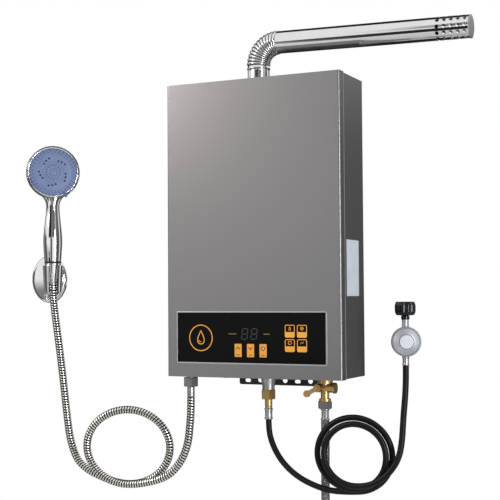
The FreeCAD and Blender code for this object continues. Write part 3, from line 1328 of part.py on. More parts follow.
def make_holder_base():
    """Oval wall plate with a domed front, two screw holes and the neck for the cradle."""
    outline = doc.addObject("Part::Ellipse", "plate_outline")
    outline.Placement = Placement(Vector(), Rotation(Vector(0, 0, 1), Vector(1, 0, 0), Vector(0, 1, 0),
                                                     "XYZ"))
    bind(outline, {"MajorRadius": "plate_half_height", "MinorRadius": "plate_half_width"})
    slab = doc.addObject("Part::Extrusion", "plate_slab")
    slab.Base = outline
    slab.DirMode = "Custom"
    slab.Dir = Vector(0, -1, 0)
    slab.Solid = True
    bind(slab, {"LengthFwd": "plate_thick"})
    doc.recompute()
    front = -worth("plate_thick") + 0.1
    rims = [number for number, edge in enumerate(slab.Shape.Edges, start=1) if edge.BoundBox.YMax < front]
    domed = doc.addObject("Part::Fillet", "plate_domed")
    domed.Base = slab
    domed.Edges = [(number, worth("plate_round"), worth("plate_round")) for number in rims]
    holes = []
    for side in (-1, 1):
        level = f"{side} * plate_screw_pitch / 2"
        holes.append(rod(f"plate_hole_{side + 1}", "plate_screw_radius", "0", ("-plate_thick - 1", "1"),
                         level))
        holes.append(rod(f"plate_sink_{side + 1}", "plate_screw_radius + plate_sink", "0",
                         ("-plate_thick", "-plate_thick + plate_sink"), level,
                         top_radius="plate_screw_radius"))
    plate = without("plate_cut", domed, *holes)
    neck = doc.addObject("Part::Cylinder", "base_neck")
    level = Rotation(Vector(0, 0, 1), worth("cradle_turn")).multiply(Rotation(Vector(1, 0, 0), -90))
    neck.Placement = Placement(Vector(), level)
    bind(neck, {"Radius": "cradle_neck_radius", "Height": "cradle_neck_length"})
    put(neck, "cradle_neck_length * sin(cradle_turn)", "-cradle_neck_length * cos(cradle_turn)")
    behind = block("wall_side", ("-plate_half_width", "plate_half_width"), ("0", "2 * cradle_neck_radius"),
                   ("-plate_half_height", "plate_half_height"))
    keep("holder_base", put(joined("holder_base_solid", plate, without("base_neck_cut", neck, behind)),
                            PLATE_X, "0", PLATE_Z))


def make_holder_cradle():
    """Slotted conical cup that the hand shower drops into, on the stub that turns on the base's neck."""
    cup = rod("cup_outer", "cradle_foot_radius", "0", "-cradle_reach", (CUP_FOOT, CUP_TOP),
              top_radius="cradle_radius")
    arm = rod("cradle_arm", "cradle_neck_radius", "0", ("-cradle_reach", "-cradle_neck_length"), "0")
    slope = "((cone_top_radius - cone_foot_radius) / cone_length)"
    seat_foot = f"({CONE_FOOT} - {PLATE_Z})"
    foot_radius = f"(cone_foot_radius + cradle_fit + {slope} * ({CUP_FOOT} - {seat_foot}))"
    top_radius = f"(cone_foot_radius + cradle_fit + {slope} * ({CUP_TOP} + 1 - {seat_foot}))"
    bore = rod("cup_bore", "shower_hose_diameter / 2 + 2 * cradle_fit", "0", "-cradle_reach",
               (f"{CUP_FOOT} - 1", f"{seat_foot} + 1"))
    seat = rod("cup_seat", "cone_foot_radius + cradle_fit", "0", "-cradle_reach",
               (seat_foot, f"{CUP_TOP} + 1"), top_radius=top_radius)
    slot = block("cup_slot", ("-cradle_slot / 2", "cradle_slot / 2"),
                 ("-cradle_reach - 2 * cradle_radius", "-cradle_reach"),
                 (f"{CUP_FOOT} - 1", f"{CUP_TOP} + 1"))
    keep("holder_cradle", put(without("cradle_cut", joined("cradle_solid", cup, arm), bore, seat, slot),
                              PLATE_X, "0", PLATE_Z, turn="cradle_turn"))


def handset_place(item):
    """Set a piece in the hand shower's turned frame, whose origin is the middle of the head."""
    return put(item, HANDSET_X, HANDSET_Y, HEAD_Z, turn="cradle_turn")


def make_handset_body():
    """Chromed head and handle in one piece, with a recess for the spray face."""
    body = new_body("handset_shell")
    grip = sketch_on(body, "grip_profile", "XZ_Plane")
    outside = [("grip_foot_radius", "-grip_foot_drop"), ("grip_belly_radius", "-grip_belly_drop"),
               ("(grip_belly_radius + grip_neck_radius) / 2", "-(grip_belly_drop + grip_neck_drop) / 2"),
               ("grip_neck_radius", "-grip_neck_drop"), ("grip_neck_radius * 0.9", "-head_radius * 0.6")]
    inside = [(f"({radius} - handset_wall)", height) for radius, height in outside]
    draw_outline(grip, outside + inside[::-1])
    grip_turn = body.newObject("PartDesign::Revolution", "grip_turn")
    grip_turn.Profile = grip
    grip_turn.ReferenceAxis = (grip, ["V_Axis"])
    grip_turn.Angle = 360
    doc.recompute()
    recess = "(face_radius + 2 * selector_play + selector_width)"
    seat = "(-head_front + face_depth)"
    ledge = "(face_radius - face_ledge)"
    head = turned("head_turned", [
        (recess, "-head_front"), ("head_radius - head_rim / 2", "-head_front"),
        ("head_radius", "-head_front + head_rim"), ("head_radius", "0"),
        ("head_radius * 0.93", "head_back * 0.42"), ("head_radius * 0.78", "head_back * 0.7"),
        ("head_radius * 0.5", "head_back * 0.91"), ("0", "head_back"), ("0", "head_back - handset_wall"),
        ("head_radius * 0.5", "head_back * 0.91 - handset_wall"),
        ("head_radius * 0.78 - handset_wall * 0.6", "head_back * 0.7 - handset_wall * 0.8"),
        (recess, "0"), (recess, f"{seat} + handset_wall"), (ledge, f"{seat} + handset_wall"), (ledge, seat),
        (recess, seat)])
    put(head, turn="-90", about=Vector(1, 0, 0))
    solid = joined("handset_solid", body, head)
    hollow = rod("head_recess", recess, "0", ("-head_front - 1", seat), "0")
    waterway = rod("head_waterway", "waterway_radius", z=("-head_radius - 1", "-head_radius * 0.6"))
    keep("handset_body", handset_place(without("handset_cut", solid, hollow, waterway)))


def make_spray_parts():
    """Spray face and the selector ring that turns round it, with its small lever."""
    seat = "(-head_front + face_depth)"
    shoulder = "(-head_front - face_proud / 3)"
    face = joined("face_solid", rod("face_disc", "face_radius", "0", (shoulder, seat), "0"),
                  rod("face_bevel", "face_radius - face_proud", "0", ("-head_front - face_proud", shoulder),
                      "0", top_radius="face_radius"))
    keep("spray_face", handset_place(face))
    inner, outer = "(face_radius + selector_play)", "(face_radius + selector_play + selector_width)"
    ring_depth = ("-head_front - selector_lever_gap - 0.5", f"{seat} - selector_play")
    ring = without("selector_ring_band", rod("selector_outer", outer, "0", ring_depth, "0"),
                   rod("selector_inner", inner, "0", ("-head_front - face_proud - 1", f"{seat} + 1"), "0"))
    lever = block("selector_lever_block", (f"{inner} + selector_width / 2", "selector_lever_reach"),
                  ("-head_front - selector_lever_gap - selector_lever_thick",
                   "-head_front - selector_lever_gap"),
                  ("-selector_lever_width / 2", "selector_lever_width / 2"))
    put(lever, f"({inner} + selector_width / 2) * cos(selector_lever_angle)"
               " - selector_lever_width / 2 * sin(selector_lever_angle)",
        "-head_front - selector_lever_gap - selector_lever_thick",
        f"-({inner} + selector_width / 2) * sin(selector_lever_angle)"
        " - selector_lever_width / 2 * cos(selector_lever_angle)",
        turn="selector_lever_angle", about=Vector(0, 1, 0))
    keep("spray_selector", handset_place(joined("spray_selector_solid", ring, lever)))


def make_handset_foot():
    """Black ring and conical nut that join the hose to the handle."""
    ring = sleeve("collar_ring", "ring_radius", "waterway_radius", "0", "0",
                  ("-grip_foot_drop - ring_height", "-grip_foot_drop"))
    keep("handset_ring", handset_place(ring))
    cone = turned("hose_cone_turned", [
        ("waterway_radius", "0"), ("cone_foot_radius", "0"), ("cone_top_radius", "cone_length"),
        ("waterway_radius", "cone_length")])
    keep("hose_cone", put(cone, HANDSET_X, HANDSET_Y, CONE_FOOT))


def make_shower():
    make_holder_base()
    make_holder_cradle()
    make_handset_body()
    make_spray_parts()
    make_handset_foot()


# ---------------------------------------------------------------------------------------------------------
# Flexible hoses
# ---------------------------------------------------------------------------------------------------------
ARC_SHARE = 0.45


def hose_path(points):
    """Straight runs joined by tangent arcs, each as large as its two runs allow. Returns edges and radii."""
    edges = []
    radii = []
    start = points[0]
    for before, corner, after in zip(points, points[1:], points[2:]):
        towards = (corner - before).normalize()
        onwards = (after - corner).normalize()
        half_turn = towards.getAngle(onwards) / 2
        trim = ARC_SHARE * min((corner - before).Length, (after - corner).Length)
        radius = trim / math.tan(half_turn)
        centre = corner + (onwards - towards).normalize() * (radius / math.cos(half_turn))
        arc_start = corner - towards * trim
        arc_end = corner + onwards * trim
        arc_middle = centre + (corner - centre).normalize() * radius
        edges.append(Part.LineSegment(start, arc_start).toShape())
        edges.append(Part.Arc(arc_start, arc_middle, arc_end).toShape())
        radii.append(radius)
        start = arc_end
    edges.append(Part.LineSegment(start, points[-1]).toShape())
    return edges, radii


def make_hose(label, route, outlet, diameter_name):
    """A plain round tube along its route from an outlet, written as one solid."""
    start = Vector(*[worth(part) for part in outlet])
    points = [start + Vector(*point) for point in route]
    diameter = worth(diameter_name)
    edges, radii = hose_path(points)
    path = Part.Wire(edges)
    section = Part.Wire([Part.Circle(points[0], points[1] - points[0], diameter / 2).toShape()])
    solid = path.makePipeShell([section], True, False)
    expected = math.pi * diameter ** 2 / 4 * path.Length
    print(f"{label}: length {path.Length:.0f} mm, least radius {min(radii) / diameter:.1f} diameters, "
          f"volume {solid.Volume / expected:.4f} of section times length")
    item = doc.addObject("Part::Feature", label + "_tube")
    item.Shape = solid
    return keep(label, item)


def make_hoses():
    make_hose("shower_hose", SHOWER_ROUTE, (HOT_X, PORT_Y, BOTTOM), "shower_hose_diameter")
    make_hose("gas_hose", GAS_ROUTE, ("gas_offset", PORT_Y, BOTTOM), "gas_hose_diameter")
    make_hose("cold_hose", COLD_ROUTE, ("cold_offset", PORT_Y, BOTTOM), "cold_hose_diameter")


# ---------------------------------------------------------------------------------------------------------
# Build, check and write
# ---------------------------------------------------------------------------------------------------------
def check_and_write():
    """Stop on any failed object or bad shape, then write one STEP file for each node."""
    doc.recompute()
    for item in doc.Objects:
        if "Invalid" in item.State or "Error" in item.State:
            raise RuntimeError(f"{item.Label} failed: {item.State}")
    for item in nodes:
        if item.Shape.isNull() or not item.Shape.isValid() or not item.Shape.Solids:
            raise RuntimeError(f"{item.Label} has no valid solid")
    os.makedirs("parts", exist_ok=True)
    for item in nodes:
        item.Shape.exportStep(os.path.join("parts", item.Label + ".step"))
    print(f"{len(nodes)} nodes written")


make_casing()
make_panel()
make_flue()
make_stack()
make_inside_ways()
make_hot_outlet()
make_gas_inlet()
make_cold_inlet()
make_regulator()
make_shower()
make_hoses()
check_and_write()
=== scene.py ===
"""Wall-hung propane water heater with its flue, hand shower, gas hose and regulator: looks and studio.

Sizes are millimetres in the frame of the solids: +Z up, +Y into the wall, the front faces -Y. Every mesh is
worked out as arrays in that frame and scaled to metres when its object is made.
"""

import json
import logging
import math
from dataclasses import dataclass
from enum import Enum
from functools import partial, reduce
from typing import Any, Callable, Iterable, Optional, Sequence, Union

import bmesh
import bpy
import numpy as np
from mathutils import Matrix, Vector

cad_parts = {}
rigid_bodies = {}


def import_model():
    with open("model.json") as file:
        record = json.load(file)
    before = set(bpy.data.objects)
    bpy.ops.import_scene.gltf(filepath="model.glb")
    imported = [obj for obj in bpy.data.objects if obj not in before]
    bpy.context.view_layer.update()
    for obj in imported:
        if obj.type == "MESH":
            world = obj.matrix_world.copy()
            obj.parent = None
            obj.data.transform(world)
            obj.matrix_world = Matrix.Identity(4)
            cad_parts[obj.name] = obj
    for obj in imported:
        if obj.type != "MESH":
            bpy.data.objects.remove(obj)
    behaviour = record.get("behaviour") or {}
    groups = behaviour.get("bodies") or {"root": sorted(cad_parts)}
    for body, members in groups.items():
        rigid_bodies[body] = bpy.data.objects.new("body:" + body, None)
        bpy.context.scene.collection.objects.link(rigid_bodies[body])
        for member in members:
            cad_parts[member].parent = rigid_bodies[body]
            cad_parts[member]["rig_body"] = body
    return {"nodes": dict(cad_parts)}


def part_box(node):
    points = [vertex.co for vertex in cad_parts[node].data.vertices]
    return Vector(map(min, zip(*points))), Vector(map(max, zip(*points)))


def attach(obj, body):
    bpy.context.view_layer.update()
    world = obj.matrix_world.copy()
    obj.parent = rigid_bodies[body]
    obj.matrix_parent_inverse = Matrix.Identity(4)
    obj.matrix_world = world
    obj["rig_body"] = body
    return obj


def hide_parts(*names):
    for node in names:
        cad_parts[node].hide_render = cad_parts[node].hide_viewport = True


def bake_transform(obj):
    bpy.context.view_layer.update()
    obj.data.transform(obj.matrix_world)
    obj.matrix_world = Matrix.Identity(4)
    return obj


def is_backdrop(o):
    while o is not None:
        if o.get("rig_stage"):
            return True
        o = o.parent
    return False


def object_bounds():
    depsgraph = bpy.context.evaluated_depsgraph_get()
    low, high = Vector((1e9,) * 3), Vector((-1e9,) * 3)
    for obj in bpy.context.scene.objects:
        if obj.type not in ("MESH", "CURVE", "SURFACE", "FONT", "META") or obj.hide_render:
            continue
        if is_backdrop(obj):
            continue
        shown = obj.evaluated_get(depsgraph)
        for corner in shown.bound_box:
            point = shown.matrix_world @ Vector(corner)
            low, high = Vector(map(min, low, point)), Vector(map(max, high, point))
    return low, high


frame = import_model()
CAD_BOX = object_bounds()

LOG = logging.getLogger("water_heater")
MILLIMETRE = 0.001
FULL_TURN = 2 * math.pi
MERGE_DISTANCE = 2e-6
DEGENERATE_LENGTH = 1e-7
LEG_SHARE = 0.48
Colour = tuple[int, int, int]
Triple = tuple[float, float, float]


# Shader maths
def operation(name: str, swapped: bool = False) -> Callable[..., "Signal"]:
    """A method of Signal that adds a Math node on the signal and another value, or on the two swapped."""
    def method(signal: "Signal", *others: "Value") -> "Signal":
        return signal.nodes.maths(name, *((*others, signal) if swapped else (signal, *others)))
    return method


@dataclass(frozen=True, eq=False)
class Signal:
    """A shader socket that takes part in Python sums, and the tree it belongs to."""

    nodes: "Nodes"
    socket: bpy.types.NodeSocket

    __add__ = operation("ADD")
    __radd__ = operation("ADD", swapped=True)
    __sub__ = operation("SUBTRACT")
    __rsub__ = operation("SUBTRACT", swapped=True)
    __mul__ = operation("MULTIPLY")
    __rmul__ = operation("MULTIPLY", swapped=True)
    __truediv__ = operation("DIVIDE")
    __pow__ = operation("POWER")
    __gt__ = operation("GREATER_THAN")
    __abs__ = operation("ABSOLUTE")
    sine = operation("SINE")
    cosine = operation("COSINE")
    fraction = operation("FRACT")

    def clamped(self) -> "Signal":
        """Self held between zero and one."""
        return self.nodes.maths("ADD", self, 0.0, clamp=True)


Value = Union[float, Signal]


class Nodes:
    """A node tree and the sums that are made in it."""

    def __init__(self, tree: bpy.types.NodeTree) -> None:
        """Take a tree and empty it."""
        self.tree = tree
        self.tree.nodes.clear()

    def node(self, kind: str, inputs: Optional[dict[Any, Any]] = None, **settings: Any) -> bpy.types.Node:
        """Add a node.

        Args:
            kind: The node's type without its "ShaderNode".
            inputs: Values or signals for its sockets, by name or number.
            settings: Its properties, set first.

        Returns:
            The node.
        """
        made = self.tree.nodes.new(f"ShaderNode{kind}")
        for name, value in settings.items():
            setattr(made, name, value)
        for name, value in (inputs or {}).items():
            if isinstance(value, Signal):
                self.tree.links.new(value.socket, made.inputs[name])
            else:
                made.inputs[name].default_value = value
        return made

    def signal(self, kind: str, inputs: Optional[dict[Any, Any]] = None, output: Union[int, str] = 0,
               **settings: Any) -> Signal:
        """Add a node and hand back one of its outputs as a signal."""
        return Signal(self, self.node(kind, inputs, **settings).outputs[output])

    def maths(self, name: str, *values: Value, clamp: bool = False) -> Signal:
        """Add a Math node on values or signals."""
        return self.signal("Math", dict(enumerate(values)), operation=name, use_clamp=clamp)


class Shader(Nodes):
    """A material's node tree with one Principled surface."""

    def __init__(self, name: str) -> None:
        """Make an empty material of that name."""
        self.material = bpy.data.materials.new(name)
        self.material.use_nodes = True
        super().__init__(self.material.node_tree)

    def place(self, scale: Triple = (1, 1, 1)) -> Signal:
        """The Object coordinates in metres, times a scale on each axis."""
        return self.signal("Mapping", {"Vector": self.signal("TexCoord", output="Object"), "Scale": scale})

    def coordinate(self, axis: int, kind: str = "UV") -> Signal:
        """A coordinate, 0 for the first, on the piece's UV map or in metres with the kind Object."""
        return self.signal("SeparateXYZ", {0: self.signal("TexCoord", output=kind)}, axis)

    def noise(self, scale: float, detail: float, stretch: Triple = (1, 1, 1)) -> Signal:
        """Smooth noise from 0 to 1 with that many features per metre."""
        return self.signal("TexNoise", {"Vector": self.place(stretch), "Scale": scale, "Detail": detail})

    def cells(self, scale: float) -> Signal:
        """A grey of its own from 0 to 1 for each of that many Voronoi cells per metre."""
        colour = self.signal("TexVoronoi", {"Vector": self.place(), "Scale": scale}, "Color")
        return self.signal("RGBToBW", {0: colour})

    def blend(self, share: Signal, first: Any, second: Any) -> Signal:
        """The first colour where share is 0 and the second where it is 1."""
        return self.signal("Mix", {0: share, 6: first, 7: second}, 2, data_type="RGBA")

    def bump(self, height: Signal, distance: float) -> Signal:
        """A normal from a height that counts in units of distance, in metres."""
        return self.signal("Bump", {"Height": height, "Distance": distance, "Strength": 1.0})

    def surface(self, **inputs: Any) -> None:
        """Close the tree with a Principled surface; underscores in the names stand for spaces."""
        named = {name.replace("_", " "): value for name, value in inputs.items()}
        self.node("OutputMaterial", {"Surface": self.signal("BsdfPrincipled", named)})


def linear(colour: Colour, shade: float = 1.0) -> tuple[float, float, float, float]:
    """The linear colour of an 8-bit screen colour, times a shade."""
    part = np.array(colour, float) / 255
    flat = np.where(part <= 0.04045, part / 12.92, ((part + 0.055) / 1.055) ** 2.4) * shade
    return (*(float(value) for value in np.clip(flat, 0, 1)), 1.0)


# Finishes
@dataclass(frozen=True)
class Finish:
    """A finish by name, with its colour and gloss; each kind paints its own nodes."""

    name: str
    colour: Colour
    roughness: float = 0.4

    def paint(self, shader: Shader) -> None:
        """Add the finish's nodes to an empty shader."""
        raise NotImplementedError

    def tinted(self, shader: Shader, share: Signal, low: float, high: float) -> Signal:
        """The finish's colour, from its low shade where share is 0 to its high one where it is 1."""
        return shader.blend(share, linear(self.colour, low), linear(self.colour, high))

    def gloss(self, change: Signal) -> Signal:
        """The finish's roughness with a change, held between zero and one."""
        return (self.roughness + change).clamped()

    def material(self) -> bpy.types.Material:
        """The finish's material, made at its first use."""
        title = f"finish_{self.name}"
        if title not in bpy.data.materials:
            shader = Shader(title)
            self.paint(shader)
        return bpy.data.materials[title]


@dataclass(frozen=True)
class Painted(Finish):
    """Sprayed paint on sheet steel with fine metal flake and a soft orange peel."""

    metal: float = 0.5
    flake: float = 0.06
    peel: float = 0.000001
    coat: float = 0.0

    def paint(self, shader: Shader) -> None:
        """Flake from fine cells in colour and gloss, and peel from smooth noise in the normal."""
        grey = shader.cells(2600)
        share = (grey * 0.7 + shader.noise(7, 2) * 0.6 - 0.15).clamped()
        shader.surface(Base_Color=self.tinted(shader, share, 1 - self.flake, 1 + self.flake),
                       Metallic=self.metal, Roughness=self.roughness + (grey - 0.5) * 0.04,
                       Coat_Weight=self.coat, Coat_Roughness=0.1,
                       Normal=shader.bump(shader.noise(420, 2), self.peel))


@dataclass(frozen=True)
class Polished(Finish):
    """Bright metal with faint wiping marks."""

    wear: float = 0.06
    grain: Triple = (1, 1, 1)
    depth: float = 0.00001

    def paint(self, shader: Shader) -> None:
        """Wiping marks from stretched noise in the gloss and a shallow wave in the normal."""
        marks = shader.noise(60, 4, self.grain)
        shader.surface(Base_Color=self.tinted(shader, shader.noise(18, 2), 0.92, 1.04), Metallic=1.0,
                       Roughness=self.gloss((marks - 0.5) * self.wear * 2),
                       Normal=shader.bump(shader.noise(35, 2, self.grain), self.depth))


@dataclass(frozen=True)
class Cast(Finish):
    """Cast or forged metal with a sandy skin and darker hollows."""

    grit: float = 900.0
    depth: float = 0.00006

    def paint(self, shader: Shader) -> None:
        """Sand from fine noise in the normal, and stain from broad noise in colour and gloss."""
        sand = shader.noise(self.grit, 4)
        stain = shader.noise(90, 3)
        share = (stain * 0.7 + sand * 0.3).clamped()
        shader.surface(Base_Color=self.tinted(shader, share, 0.72, 1.12), Metallic=1.0,
                       Roughness=self.gloss((stain - 0.5) * 0.25), Normal=shader.bump(sand, self.depth))


@dataclass(frozen=True)
class Moulded(Finish):
    """Moulded plastic or rubber with a fine spark-eroded grain."""

    grain: float = 1500.0
    depth: float = 0.00003
    coat: float = 0.0
    variation: float = 0.12
    index: float = 1.5

    def paint(self, shader: Shader) -> None:
        """Grain in the normal, and a slow change of colour and gloss."""
        cloud = shader.noise(40, 3)
        shader.surface(Base_Color=self.tinted(shader, cloud, 1 - self.variation, 1 + self.variation),
                       Roughness=self.gloss((cloud - 0.5) * 0.15), IOR=self.index, Coat_Weight=self.coat,
                       Coat_Roughness=0.08, Normal=shader.bump(shader.noise(self.grain, 2), self.depth))


@dataclass(frozen=True)
class Glassy(Finish):
    """A black panel behind a clear, finely frosted face."""

    def paint(self, shader: Shader) -> None:
        """Faint smears in the gloss over an even dark colour."""
        smear = shader.noise(25, 4, (1, 1, 3))
        shader.surface(Base_Color=self.tinted(shader, smear, 0.85, 1.15),
                       Roughness=self.gloss((smear - 0.5) * 0.05), IOR=1.16)


@dataclass(frozen=True)
class Galvanised(Finish):
    """Zinc-coated sheet with its spangle."""

    def paint(self, shader: Shader) -> None:
        """Each spangle cell has its own tone and gloss."""
        tone = shader.cells(140)
        shader.surface(Base_Color=self.tinted(shader, tone, 0.75, 1.15), Metallic=1.0,
                       Roughness=(self.roughness + tone * 0.2 - 0.1).clamped())


@dataclass(frozen=True)
class Circuit(Finish):
    """A lacquered circuit board with tracks and vias."""

    def paint(self, shader: Shader) -> None:
        """Tracks from the edges of square cells, copper-bright under the lacquer."""
        across, rise = (abs((shader.coordinate(axis, "Object") * 260).fraction() - 0.5) for axis in (0, 2))
        track = ((across > 0.42) + (rise > 0.42)).clamped() * (shader.noise(120, 1) > 0.5)
        colour = shader.blend(track, linear(self.colour), linear((120, 150, 70)))
        shader.surface(Base_Color=colour, Roughness=self.roughness - track * 0.1)


@dataclass(frozen=True)
class Wound(Finish):
    """Ribbed or wound steel in its own colour on its turns, with painted shade where they meet.

    The piece's UV map counts turns along U. The painted shade line takes the share of a turn that the brink leaves.
    """

    brink: float = 0.45
    # The crease colour is painted shade in the grooves where the turns meet.
    crease_shade_colour: Colour = (40, 37, 32)

    def paint(self, shader: Shader) -> None:
        """Painted shade from the distance to the line where two turns meet, which lies at whole numbers."""
        crease_shade = ((abs(shader.coordinate(0).fraction() - 0.5) * 2 - self.brink) * 5).clamped()
        rough = (self.roughness + crease_shade * 0.4 + (shader.noise(300, 2) - 0.5) * 0.08).clamped()
        shader.surface(Base_Color=shader.blend(crease_shade, linear(self.colour), linear(self.crease_shade_colour)), Metallic=1.0,
                       Roughness=rough)


@dataclass(frozen=True)
class Spun(Finish):
    """A metal face turned on a lathe, with soft brighter and darker fans in its colour: a painted highlight for its
    spun sheen.

    The piece's UV map goes once round along V.
    """

    def paint(self, shader: Shader) -> None:
        """The painted highlight fans follow the cosine of twice the angle; fine rings follow the way out."""
        painted_sheen_fans = (shader.coordinate(1) * (2 * FULL_TURN) - 0.9).cosine()
        rings = (shader.coordinate(0) * 160).sine()
        share = (painted_sheen_fans * 0.42 + rings * 0.06 + 0.5).clamped()
        shader.surface(Base_Color=self.tinted(shader, share, 0.72, 1.15), Metallic=0.85,
                       Roughness=(self.roughness - painted_sheen_fans * 0.05).clamped())


@dataclass(frozen=True)
class Woven(Finish):
    """A braided jacket: flat bundles of wire that cross over and under on both diagonals.

    The piece's UV map counts bundles along U and round V.
    """

    def paint(self, shader: Shader) -> None:
        """Two diagonal waves; the higher one shows, with fine wires along each bundle. The colour falls towards near
        black where the bundles and wires sink: painted shade between and under them.
        """
        along, round_ = shader.coordinate(0), shader.coordinate(1)
        rising, falling = (along + round_) * math.pi, (along - round_) * math.pi
        over = (rising.sine() * falling.sine() * 0.5 + 0.5).clamped()
        height = abs(rising.sine()) * over + abs(falling.sine()) * (1 - over)
        wires = (rising * 5).sine() * over + (falling * 5).sine() * (1 - over)
        # Painted shade: the colour falls towards near black where the bundles and wires sink.
        share = ((height * 0.8 + wires * 0.12 + 0.1) ** 1.6).clamped()
        shader.surface(Base_Color=self.tinted(shader, share, 0.03, 1.15), Metallic=0.9,
                       Roughness=self.roughness, Normal=shader.bump(height + wires * 0.2, 0.0004))


class Skin(Enum):
    """The finishes of the heater."""

    CASE = Painted("case_paint", (131, 129, 129), 0.30, metal=0.8, flake=0.02, coat=0.45)
    # The hem is the cover's own steel; its lighter matte grey is a painted highlight along the cover's back edge.
    HEM = Moulded("hem_painted_highlight", (150, 142, 136), 0.5)
    STRIP = Painted("strip_paint", (26, 26, 28), 0.45, metal=0.1, flake=0.1)
    GLASS = Glassy("panel_glass", (11, 11, 12), 0.10)
    KEY = Moulded("key_orange", (236, 160, 60), 0.35)
    PRINT = Moulded("orange_print", (240, 165, 60), 0.5, depth=0.000005)
    DIM_PRINT = Moulded("dim_print", (42, 43, 46), 0.5, depth=0.000005)
    BRONZE_PRINT = Moulded("bronze_print", (150, 110, 60), 0.5, depth=0.000005)
    DARK_PRINT = Moulded("dark_print", (30, 26, 20), 0.5, depth=0.000005)
    # The frame's rim is the case's grey; its lighter colour is a painted highlight along its edges.
    RIM = Painted("rim_painted_highlight", (172, 172, 175), 0.30, metal=0.7, flake=0.03)
    FLUE = Polished("flue_steel", (226, 225, 226), 0.10, wear=0.05, grain=(0.05, 1, 1))
    # The elbow's dark crease colour is painted shade in the valleys between its ribs.
    ELBOW = Wound("elbow_steel", (222, 221, 220), 0.14, brink=0.72, crease_shade_colour=(30, 30, 32))
    CHROME = Polished("chrome", (232, 231, 232), 0.06, wear=0.03)
    DARK_CHROME = Polished("dark_chrome", (136, 138, 144), 0.08, wear=0.03)
    CAP = Cast("cap_steel", (188, 187, 187), 0.4)
    STEEL = Polished("bright_steel", (178, 177, 177), 0.34, wear=0.04, depth=0.000001)
    NUT = Polished("nut_steel", (134, 134, 138), 0.28, wear=0.1)
    SCREW = Polished("screw_steel", (170, 168, 165), 0.3, wear=0.1)
    BRASS = Polished("brass", (194, 160, 108), 0.36, wear=0.08, depth=0.000004)
    DULL_BRASS = Polished("dull_brass", (170, 144, 88), 0.34, wear=0.12, depth=0.00002)
    COPPER = Polished("copper", (196, 120, 86), 0.32, wear=0.12)
    ZINC = Galvanised("zinc_sheet", (168, 172, 176), 0.4)
    CASTING = Cast("cast_alloy", (150, 152, 155), 0.55)
    BOARD = Circuit("circuit_board", (22, 84, 48), 0.35)
    BLACK = Moulded("black_moulding", (24, 24, 26), 0.42)
    GLOSS_BLACK = Moulded("gloss_black", (6, 6, 7), 0.2, grain=400, depth=0.00001, index=1.4)
    CERAMIC = Moulded("ceramic", (232, 228, 218), 0.25, coat=0.4, variation=0.04)
    RUBBER = Moulded("hose_rubber", (9, 9, 10), 0.42, grain=700, depth=0.00005, index=1.3)
    # The spiral's near-black crease colour is painted shade in the groove between its turns.
    SPIRAL = Wound("wound_strip", (242, 238, 230), 0.1, brink=0.4, crease_shade_colour=(7, 7, 6))
    BRAID = Woven("braid", (150, 148, 148), 0.25)
    REGULATOR = Cast("regulator_alloy", (176, 179, 186), 0.45, grit=1400, depth=0.000006)
    COVER_RIM = Cast("cover_rim", (140, 141, 144), 0.5, grit=1400, depth=0.000004)
    # The spun cover's brighter and darker fans are a painted highlight for its sheen.
    SPUN = Spun("spun_cover", (190, 190, 193), 0.46)
    DARK_RING = Moulded("ring_grey", (92, 92, 96), 0.5, depth=0.000005)
    BADGE = Moulded("badge_white", (206, 206, 210), 0.35, depth=0.000005, variation=0.03)
    SPRAY = Moulded("spray_blue", (118, 132, 170), 0.38, depth=0.00002)
    NOZZLE = Moulded("nozzle_blue", (84, 100, 148), 0.5)
    LEVER = Moulded("lever_blue", (84, 100, 140), 0.3)
    # Painted shade: the spray face's holes are shallow cups in this dark colour.
    HOLE = Moulded("hole_painted_shade", (24, 30, 62), 0.7)
    LABEL = Moulded("blank_label", (205, 208, 214), 0.45, depth=0.000005)

    def material(self) -> bpy.types.Material:
        """The finish's material."""
        return self.value.material()


SKIN_OF_SLOT: dict[str, Skin] = {
    "case_grey": Skin.CASE, "strip_black": Skin.STRIP, "screw_steel": Skin.SCREW,
    "panel_glass": Skin.GLASS, "key_orange": Skin.KEY, "tile_orange": Skin.PRINT,
    "board_green": Skin.BOARD, "part_black": Skin.BLACK, "flue_chrome": Skin.FLUE, "sheet_zinc": Skin.ZINC,
    "copper": Skin.COPPER, "cast_alloy": Skin.CASTING, "nut_steel": Skin.NUT, "brass": Skin.BRASS,
    "ceramic_white": Skin.CERAMIC, "hose_black": Skin.RUBBER, "hose_spiral": Skin.SPIRAL,
    "hose_braid": Skin.BRAID, "regulator_grey": Skin.REGULATOR, "regulator_black": Skin.GLOSS_BLACK,
    "shower_chrome": Skin.CHROME, "spray_blue": Skin.SPRAY,
}


